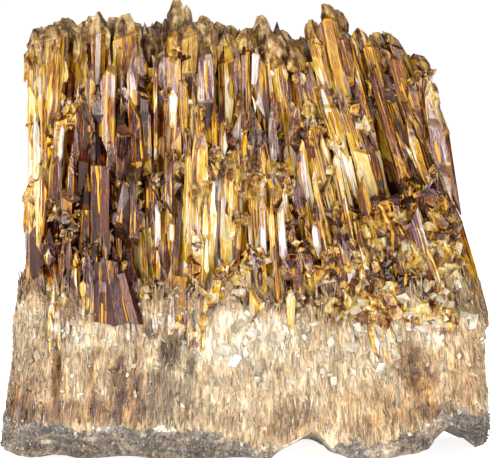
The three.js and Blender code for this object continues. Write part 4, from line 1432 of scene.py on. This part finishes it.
def crust_tone(middle, number):
    """0.33, a little less further down, plus its patches, waves, and 0.4 for salt on parts of its top."""
    x, y, z = middle.T
    below_top = crust_high(x, y) - z
    salt = np.clip(1.2 - below_top / 0.9, 0, 1) * np.clip(noise(x / 3 + 9, y / 3, 41) * 2 - 0.6, 0, 1)
    patches = (cloud_tone(ROCK_CLOUDS, x, z) + 0.4 * cloud_tone(ARCHES, x, z)) * (y < 0)
    return (0.33 - 0.025 * np.clip(below_top, 0, 4) + patches + 0.1 * noise(x / 2.5 + y / 3, z / 1.5, 42)
            + 0.4 * salt + 0.08 * noise(x / 0.5 + y / 0.5, z / 0.4, 43) + spread(number, 421, 0.09))


points, faces = closed_body(layer_body(underside, crust_high, 700, 26, proud=0.15))
middle, number = points[faces].mean(axis=1), np.arange(len(faces))
crust = body_piece("granular_rock", points, faces, crust_tone(middle, number), rock_warmth(middle, number))

# %% [markdown]
# Grains stand out of the broken rock. The real ones go down to dust, and the ones made here are 0.2 to
# 0.5 mm across, the smallest that still show.

# %% Grains of the rock
GRAIN_COUNT = 9000


def grain_places():
    """Places on the side of the crust, clear of the table, and none where the arches leave no rock."""
    n = GRAINS_FROM + np.arange(GRAIN_COUNT)
    place, out = side_places(n, 0.3, 10)
    x, y, z = place.T
    keep = (z > underside(x, y) + 0.25) & (z > 0.5) & (z < crust_high(x, y) + 0.3)
    keep &= along(CRUST_TOP, x) > underside(x, y)
    return n[keep], (place + 0.2 * out)[keep], (0.1 + 0.16 * chance(n, 3) ** 2)[keep]


def grain_tone(middle, number):
    """The tone of the crust, give or take 0.14."""
    return crust_tone(middle, number) + 0.02 + spread(number, 15, 0.14)


grains = rhombs("rock_grains", *grain_places(), grain_tone, 1.0, rock_warmth)

# %% [markdown]
# ## Tools for materials
# Colours are written as hex values, as a colour picker shows them. The renderer works with linear light,
# so each one goes through one function.

# %% Colours
def linear(hex_color):
    """Linear RGBA of an sRGB hex colour: s / 12.92 up to 0.04045, and ((s + 0.055) / 1.055)^2.4 above."""
    s = np.array([int(hex_color[i : i + 2], 16) for i in (1, 3, 5)]) / 255
    return (*np.where(s <= 0.04045, s / 12.92, ((s + 0.055) / 1.055) ** 2.4), 1)


print("mid grey in linear light:", round(float(linear("#808080")[0]), 3))

# %% [markdown]
# A material is a small tree of nodes. One function adds a node and links it, so a tree reads from top to
# bottom like a list of what is worked out.

# %% Nodes
def add_node(tree, kind, settings, *inputs):
    """A new node. settings gives its properties, and its sockets by name or number; inputs fill its first
    sockets in order. A socket takes a number, a colour, another node's socket, or a node, which stands
    for its first output."""
    node = tree.nodes.new(kind)
    for key, value in [*settings.items(), *enumerate(inputs)]:
        if isinstance(value, bpy.types.Node):
            value = value.outputs[0]
        if isinstance(value, bpy.types.NodeSocket):
            tree.links.new(value, node.inputs[key])
        elif isinstance(key, int) or key in node.inputs:
            node.inputs[key].default_value = value
        else:
            setattr(node, key, value)
    return node


# Short names for nodes and settings that are used again and again.
MATH, RAMP, MIX = "ShaderNodeMath", "ShaderNodeValToRGB", "ShaderNodeMix"
NOISE, MAPPING = "ShaderNodeTexNoise", "ShaderNodeMapping"
ATTRIBUTE, SEPARATE_COLOR, UV = "ShaderNodeAttribute", "ShaderNodeSeparateColor", "ShaderNodeUVMap"
SUM, PRODUCT, COLORS = {"operation": "ADD"}, {"operation": "MULTIPLY"}, {"data_type": "RGBA"}
TIMES_PLUS = {"operation": "MULTIPLY_ADD"}  # first times second plus third
TIMES_PLUS_HELD = {**TIMES_PLUS, "use_clamp": True}  # the same, held to 0 .. 1
FIRST_COLOR, SECOND_COLOR, MIXED = 6, 7, 2  # sockets of a Mix node that mixes colours
print("sockets of a colour mix:", FIRST_COLOR, SECOND_COLOR, MIXED)

# %% [markdown]
# Three more helpers fill a ramp, start a material and give it to a piece. A piece is given there the body
# it rides on, and the CAD node that it stands for is hidden.

# %% Ramps, materials and pieces
def with_stops(ramp, stops):
    """Gives a colour ramp its (position, hex colour) stops and hands back its colour."""
    elements = ramp.color_ramp.elements
    for i, (position, hex_color) in enumerate(stops):
        stop = elements[i] if i < 2 else elements.new(position)
        stop.position = position
        stop.color = linear(hex_color)
    return ramp.outputs[0]


def new_material(name):
    """A material with an empty tree, and the tree."""
    material = bpy.data.materials.new(name)
    material.use_nodes = True
    material.node_tree.nodes.clear()
    return material, material.node_tree


def dress(piece, material, node_name):
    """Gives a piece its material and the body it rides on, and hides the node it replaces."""
    piece.data.materials.append(material)
    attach(piece, "root")
    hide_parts(node_name)


print("materials before the first:", len(bpy.data.materials))

# %% [markdown]
# ## Clear calcite
# Calcite is a clear mineral with an index near 1.6. Iron and clay caught inside colour it, so the colour
# gets stronger with the way that light travels through it, and that is what absorption does. Its faces
# are grown or cleaved, as smooth as glass, so they give the eye sharp mirrors.
# Through a flat face one sees the crowded inside as long streaks with pointed ends, each of one plain
# colour. Really those are far images of many columns. Here stretched cells that follow each blade stand
# for them, which cost nothing to trace: kites 2 mm wide and 7 mm long, and streaks 0.4 by 4 mm. The twin
# lines of real calcite are some hundredths of a millimetre apart, and grooves on its faces a tenth. Those
# are too fine to show, so the hairs are drawn 0.13 mm wide and the grooves 0.3 mm.
# A small share of streaks is painted with a gold glint, as healed cracks flash, and the rim of each flat is
# painted a little paler, a highlight as on an edge that gathers light.

# %% What the crystal materials share
HONEY_SCALE = [
    (0.0, "#220808"), (0.1, "#3E1310"), (0.22, "#602408"), (0.33, "#88480F"), (0.44, "#AF7113"),
    (0.53, "#CB9219"), (0.62, "#DFB02C"), (0.71, "#E9C446"), (0.82, "#EFDB90"), (0.92, "#F3E9C8"),
    (1.0, "#F8F4EC")]
# Painted reflection: the lilac white of a mirrored lamp, down to dark maroon.
REFLECTION_LILAC_SCALE = [(0.0, "#380E12"), (0.25, "#5E303A"), (0.5, "#8C747A"), (0.75, "#C4B6B8"), (1.0, "#F2ECEE")]
TAUPE_SCALE = [(0.48, "#2E2012"), (0.66, "#6A5232"), (0.8, "#94774E"), (1.0, "#C9B28A")]
# Width and length of each pattern in millimetres, and of the steps on dull faces.
KITES, STREAKS, HAIRS, GROOVES = (2.0, 7.143), (0.3846, 4.167), (0.125, 1.4286), (0.3125, 3.333)
STEP_SIZE = 1.3333
KITE_CONTRAST, STREAK_CONTRAST, HAIR_CONTRAST = 0.5, 0.54, 0.56
# A painted highlight at the rim of each flat: its width in millimetres and how much it lightens.
EDGE_HIGHLIGHT_WIDTH, EDGE_HIGHLIGHT_GAIN = 0.18, 0.24
# A painted gold glint: the share of streaks that carry it, and its colour.
PAINTED_GLINT_SHARE, PAINTED_GLINT_COLOR = 0.04, "#F4B408"
CALCITE_IOR = 1.6
# A crystal in a cluster mostly mirrors its warm neighbours and a room darker than this pale studio, so
# its mirrors are taken down and tinted.
MIRROR_LEVEL, MIRROR_TINT = 0.15, "#EAD4C8"
# The light that is left after some way through the crystal. At density 50 a way of 5 mm takes 18 % of
# the blue and 2 % of the red.
ABSORBED_TO = "#F6CE81"
print("pattern widths:", [size[0] for size in (KITES, STREAKS, HAIRS, GROOVES)], "mm")

# %% [markdown]
# The value of a place is where it stands on a colour scale. It is the facet's tone, moved up and down by
# patterns of four sizes, so that a flat is never one plain tone, and raised at the rim as a painted
# highlight.
# The patterns could be painted images, but worked out on the run they stay sharp at any size.

# %% The value of a place
def on_run(tree, run, size, kind, settings):
    """A flat pattern on the run, whose cells are a width and a length in millimetres."""
    place = add_node(tree, MAPPING, {"Vector": run, "Scale": (1 / size[0], 1 / size[1], 1)})
    return add_node(tree, kind, {**settings, "Vector": place, "Scale": 1.0})


def crystal_value(tree, run, tone, strength, kite, streak, steps, mottle):
    """Place on the colour scale: tone + strength * (kites + streaks) + hairs + mottle * steps + a painted
    edge highlight, with every pattern taken round its middle. The highlight falls to 0 at
    EDGE_HIGHLIGHT_WIDTH mm from the side of a flat."""
    change = add_node(tree, MATH, TIMES_PLUS, kite, KITE_CONTRAST, -(KITE_CONTRAST + STREAK_CONTRAST) / 2)
    change = add_node(tree, MATH, TIMES_PLUS, streak, STREAK_CONTRAST, change)
    streaked = add_node(tree, MATH, TIMES_PLUS, change, strength, tone)
    hairs = on_run(tree, run, HAIRS, NOISE, {"noise_dimensions": "2D", "Detail": 1.0})
    specks = add_node(tree, MATH, TIMES_PLUS, steps, mottle, -(mottle + HAIR_CONTRAST) / 2)
    fine = add_node(tree, MATH, TIMES_PLUS, hairs, HAIR_CONTRAST, specks)
    streaked = add_node(tree, MATH, SUM, streaked, fine)
    # The painted edge highlight, from the place across the flat.
    side = add_node(tree, "ShaderNodeSeparateXYZ", {}, add_node(tree, UV, {"uv_map": "side"})).outputs
    inward = add_node(tree, MATH, {"operation": "PINGPONG"}, side[0], 0.5)
    inward = add_node(tree, MATH, PRODUCT, inward, side[1])
    edge = add_node(tree, MATH, TIMES_PLUS_HELD, inward, -1 / EDGE_HIGHLIGHT_WIDTH, 1.0)
    return add_node(tree, MATH, TIMES_PLUS_HELD, edge, EDGE_HIGHLIGHT_GAIN, streaked)


print("at full strength kites and streaks move it by up to", (KITE_CONTRAST + STREAK_CONTRAST) / 2)

# %% [markdown]
# One ramp turns the value to honey. Some flats are painted with a lilac reflection, and it takes a
# ramp of its own, chosen streak by streak. Where a face is dull, a taupe skin covers the inside.

# %% The colour of a place
def crystal_color(tree, value, streak_colors, painted_reflection_share, dull, steps):
    """Honey, with the share of streaks painted with a lilac reflection and of those painted with a gold
    glint, turned to taupe by 0.9 of the dullness. Taupe gets lighter with the steps and with 0.55 of the
    value."""
    honey = with_stops(add_node(tree, RAMP, {}, value), HONEY_SCALE)
    # The lilac ramp paints a reflection on the streaks chosen for it.
    lilac = with_stops(add_node(tree, RAMP, {}, value), REFLECTION_LILAC_SCALE)
    is_painted_reflection = add_node(tree, MATH, {"operation": "LESS_THAN"}, streak_colors[1], painted_reflection_share)
    is_painted_reflection = add_node(tree, MATH, PRODUCT, is_painted_reflection, 0.9)
    clear = add_node(tree, MIX, {**COLORS, FIRST_COLOR: honey, SECOND_COLOR: lilac}, is_painted_reflection).outputs[MIXED]
    # A few streaks are painted with a gold glint, a highlight.
    glint = add_node(tree, MATH, {"operation": "GREATER_THAN"}, streak_colors[2], 1 - PAINTED_GLINT_SHARE)
    clear = add_node(tree, MIX, {**COLORS, FIRST_COLOR: clear, SECOND_COLOR: linear(PAINTED_GLINT_COLOR)}, glint)
    shade = add_node(tree, MATH, TIMES_PLUS, value, 0.55, steps)
    taupe = with_stops(add_node(tree, RAMP, {}, shade), TAUPE_SCALE)
    haze = add_node(tree, MATH, PRODUCT, dull, 0.9)
    colors = {FIRST_COLOR: clear.outputs[MIXED], SECOND_COLOR: taupe}
    return add_node(tree, MIX, {**COLORS, **colors}, haze).outputs[MIXED]


print("stops of the three scales:", [len(scale) for scale in (HONEY_SCALE, REFLECTION_LILAC_SCALE, TAUPE_SCALE)])

# %% [markdown]
# All crystal is one mineral, so one function makes its four materials. They differ in how much light they
# let through, in a faint clear coat that sharpens the mirrors, in the density of the colour inside, and
# in the mottling of crushed or etched faces.

# %% A calcite material
def clear_calcite(name, transmission, coat, density, mottle):
    """Reads nature, run and side, and joins the value, the colour, the grooves as bump, and roughness:
    0.05 where it is clear, and 0.4 more where it is wholly dull."""
    material, tree = new_material(name)
    nature = add_node(tree, ATTRIBUTE, {"attribute_name": "nature"})
    tone, strength, dull = add_node(tree, SEPARATE_COLOR, {"Color": nature.outputs["Color"]}).outputs
    run = add_node(tree, UV, {"uv_map": "run"})
    cells = [on_run(tree, run, size, "ShaderNodeTexVoronoi", {"voronoi_dimensions": "2D"})
             for size in (KITES, STREAKS)]
    kites, streaks = (add_node(tree, SEPARATE_COLOR, {"Color": cell.outputs["Color"]}).outputs
                      for cell in cells)
    place = add_node(tree, "ShaderNodeTexCoord", {}).outputs["Object"]
    steps = add_node(tree, NOISE, {
        "Vector": place, "Scale": 1000 / STEP_SIZE, "Detail": 4.0, "Roughness": 0.65})
    value = crystal_value(tree, run, tone, strength, kites[0], streaks[0], steps, mottle)
    color = crystal_color(tree, value, streaks, nature.outputs["Alpha"], dull, steps)
    grooves = on_run(tree, run, GROOVES, NOISE, {"noise_dimensions": "2D", "Detail": 2.0})
    bump = add_node(tree, "ShaderNodeBump", {"Strength": 0.25, "Distance": 0.0002, "Height": grooves})
    rough = add_node(tree, MATH, TIMES_PLUS, dull, 0.4, 0.05)
    shader = add_node(tree, "ShaderNodeBsdfPrincipled", {
        "Base Color": color, "Roughness": rough, "IOR": CALCITE_IOR, "Specular IOR Level": MIRROR_LEVEL,
        "Specular Tint": linear(MIRROR_TINT), "Transmission Weight": transmission, "Normal": bump,
        "Coat Weight": coat, "Coat Roughness": 0.03, "Coat Normal": bump})
    output = add_node(tree, "ShaderNodeOutputMaterial", {"Surface": shader})
    if density:
        absorb = add_node(tree, "ShaderNodeVolumeAbsorption", {
            "Color": linear(ABSORBED_TO), "Density": density})
        tree.links.new(absorb.outputs[0], output.inputs["Volume"])
    return material


# Grown and cleaved faces, smooth: the eye looks into them, and they flash.
column_material = clear_calcite("clear_calcite", 0.55, 0.08, 50.0, 0.12)
# The last growth in the open, etched and overgrown: waxy, taupe, mottled.
tip_material = clear_calcite("dull_calcite", 0.35, 0.0, 15.0, 0.6)
# Crushed along its cleavage: bright and dark specks side by side, little colour of its own.
rhomb_material = clear_calcite("cleaved_calcite", 0.5, 0.1, 15.0, 1.4)
# Full of healed cracks: no light gets through, and it glows back honey.
heart_material = clear_calcite("cloudy_calcite", 0.0, 0.0, 0, 0.3)
for material, pieces in (
    (column_material, (crystals, splinter_piece, kite_piece, block_piece, pointed_piece)),
    (tip_material, (tips,)),
    (rhomb_material, (rhomb_piece, lumps, stubs, fibre_piece)),
    (heart_material, (heart,)),
):
    for piece in pieces:
        dress(piece, material, "crystal_columns")
print("crystal materials:", [m.name for m in (column_material, tip_material, rhomb_material, heart_material)])

# %% [markdown]
# ## Fibrous calcite and rock
# The pale layer scatters light between its fibres, so it is cream rather than clear. Its broken side shows
# streaks along the fibres. Real fibres are hundredths of a millimetre thick, and the streaks are drawn
# 0.4 mm wide and 2.2 mm long so that they show. The rock is dull and granular. Its finest grains are dust,
# and the smallest specks are drawn 0.7 to 0.8 mm across, with finer detail inside them. Each layer has a
# cool scale of colours and a warm one, and its warmth chooses between them.

# %% Colours and materials of the two lower layers
WHITE_SCALE = [(0.0, "#5C4C38"), (0.25, "#968262"), (0.45, "#B8A788"), (0.65, "#D4C8AE"), (0.85, "#F2EBDC")]
TAN_SCALE = [(0.0, "#54341A"), (0.25, "#966C36"), (0.45, "#BA945C"), (0.65, "#D2B27E"), (0.85, "#EEDCB8")]
BLUE_GREY_SCALE = [(0.1, "#424140"), (0.3, "#66635F"), (0.5, "#86817B"), (0.7, "#A8A49D"), (0.9, "#DAD6CE")]
TAUPE_ROCK_SCALE = [(0.1, "#38302A"), (0.3, "#665848"), (0.5, "#8A7A66"), (0.7, "#AA9A82"), (0.9, "#DCD2BE")]


def grown_layer(name, scales, size, transmission, roughness, wander, amount):
    """A layer whose place on its scales is its tone plus amount times a soft pattern, taken round its
    middle. The pattern's cells are a width and a length in millimetres, and bend by wander."""
    material, tree = new_material(name)
    nature = add_node(tree, ATTRIBUTE, {"attribute_name": "nature"})
    tone, warmth_here = add_node(tree, SEPARATE_COLOR, {"Color": nature.outputs["Color"]}).outputs[:2]
    place = add_node(tree, "ShaderNodeTexCoord", {}).outputs["Object"]
    width, length = size
    place = add_node(tree, MAPPING, {"Vector": place, "Scale": (1000 / width, 1000 / width, 1000 / length)})
    pattern = add_node(tree, NOISE, {
        "Vector": place, "Scale": 1.0, "Detail": 4.0, "Roughness": 0.65, "Distortion": wander})
    change = add_node(tree, MATH, TIMES_PLUS, pattern, amount, -amount / 2)
    value = add_node(tree, MATH, {**SUM, "use_clamp": True}, change, tone)
    cool, warm = (with_stops(add_node(tree, RAMP, {}, value), scale) for scale in scales)
    color = add_node(tree, MIX, {**COLORS, FIRST_COLOR: cool, SECOND_COLOR: warm}, warmth_here)
    shader = add_node(tree, "ShaderNodeBsdfPrincipled", {
        "Base Color": color.outputs[MIXED], "IOR": CALCITE_IOR, "Roughness": roughness,
        "Transmission Weight": transmission})
    add_node(tree, "ShaderNodeOutputMaterial", {"Surface": shader})
    return material


PALE, ROCK = (WHITE_SCALE, TAN_SCALE), (BLUE_GREY_SCALE, TAUPE_ROCK_SCALE)
# A wall of fibres broken along their length: soft and matt, streaked.
fibrous = grown_layer("fibrous_calcite", PALE, (0.3846, 2.222), 0.0, 0.5, 1.2, 1.3)
# Single fibres and crumbs: their own faces are smooth, and half the light goes through, as in silk.
silky = grown_layer("silky_calcite", PALE, (0.3846, 2.5), 0.5, 0.2, 0.7, 0.8)
# Broken rock, rough in every direction.
rock = grown_layer("granular_rock", ROCK, (0.7692, 0.7692), 0.0, 0.8, 0.5, 1.2)
# Its single grains, each nearly of one colour and a little smoother.
grain = grown_layer("grain_of_rock", ROCK, (0.6667, 0.6667), 0.0, 0.6, 0.5, 0.4)
dress(pale_body, fibrous, "fibrous_base")
dress(needles, silky, "fibrous_base")
dress(crumbs, silky, "fibrous_base")
dress(crust, rock, "rock_crust")
dress(grains, grain, "rock_crust")
print("materials of the lower layers:", [m.name for m in (fibrous, silky, rock, grain)])

# %% [markdown]
# ## Floor and light
# The specimen stands on a plain pale floor that glows a little, so that its far end is as bright as the
# background. From here on lengths are in metres.

# %% The floor
FLOOR_REACH = 40.0

floor_mesh = bpy.data.meshes.new("floor")
floor_corners = [(x * FLOOR_REACH, y * FLOOR_REACH, 0) for x, y in ((-1, -1), (1, -1), (1, 1), (-1, 1))]
floor_mesh.from_pydata(floor_corners, [], [(0, 1, 2, 3)])
floor = bpy.data.objects.new("floor", floor_mesh)
bpy.context.scene.collection.objects.link(floor)
pale_floor, tree = new_material("pale_floor")
shader = add_node(tree, "ShaderNodeBsdfPrincipled", {
    "Base Color": linear("#F3F3F3"), "Roughness": 0.9,
    "Emission Color": linear("#FFFFFF"), "Emission Strength": 0.85})
add_node(tree, "ShaderNodeOutputMaterial", {"Surface": shader})
floor_mesh.materials.append(pale_floor)
print("floor:", 2 * FLOOR_REACH, "m wide")

# %% [markdown]
# Two tall soft boxes at the sides give most of the light, two narrow strips near the camera draw the
# white flashes, and a box overhead keeps the top and the back from going dark. They stand close, as they
# would round a mineral, so that many facets find one to mirror.

# %% The lamps
# As (name, place, width and height, watts).
LAMPS = [
    ("left_box", (-0.56, -0.50, 0.28), (0.30, 0.6), 7.0),
    ("right_box", (0.50, -0.55, 0.30), (0.22, 0.6), 4.5),
    ("left_strip", (-0.30, -0.85, 0.25), (0.07, 0.6), 1.8),
    ("right_strip", (0.36, -0.85, 0.25), (0.07, 0.6), 1.8),
    ("top_box", (0.0, 0.1, 0.9), (0.7, 0.5), 4.0)]
LAMP_AIM = Vector((0, 0, 0.04))

for name, place, size, watts in LAMPS:
    lamp = bpy.data.lights.new(name, "AREA")
    lamp.shape = "RECTANGLE"
    lamp.size, lamp.size_y = size
    lamp.energy = watts
    lamp_object = bpy.data.objects.new(name, lamp)
    lamp_object.location = place
    lamp_object.rotation_euler = (LAMP_AIM - Vector(place)).to_track_quat("-Z", "Y").to_euler()
    bpy.context.scene.collection.objects.link(lamp_object)
print("lamps:", len(LAMPS))

# %% [markdown]
# A faint sky keeps the clefts between the columns from going black. A ray through the cluster crosses
# several columns, two faces each, so it may be bent more often than is usual.

# %% The sky, and how far light is followed
SKY_COLOR, SKY_STRENGTH = "#F9F9FF", 0.22
MOST_BOUNCES = 16

world = bpy.data.worlds.new("studio")
bpy.context.scene.world = world
world.use_nodes = True
background = world.node_tree.nodes["Background"].inputs
background["Color"].default_value = linear(SKY_COLOR)
background["Strength"].default_value = SKY_STRENGTH
bpy.context.scene.view_settings.view_transform = "Standard"
bpy.context.scene.cycles.max_bounces = MOST_BOUNCES
bpy.context.scene.cycles.transmission_bounces = MOST_BOUNCES
print("bounces:", MOST_BOUNCES)
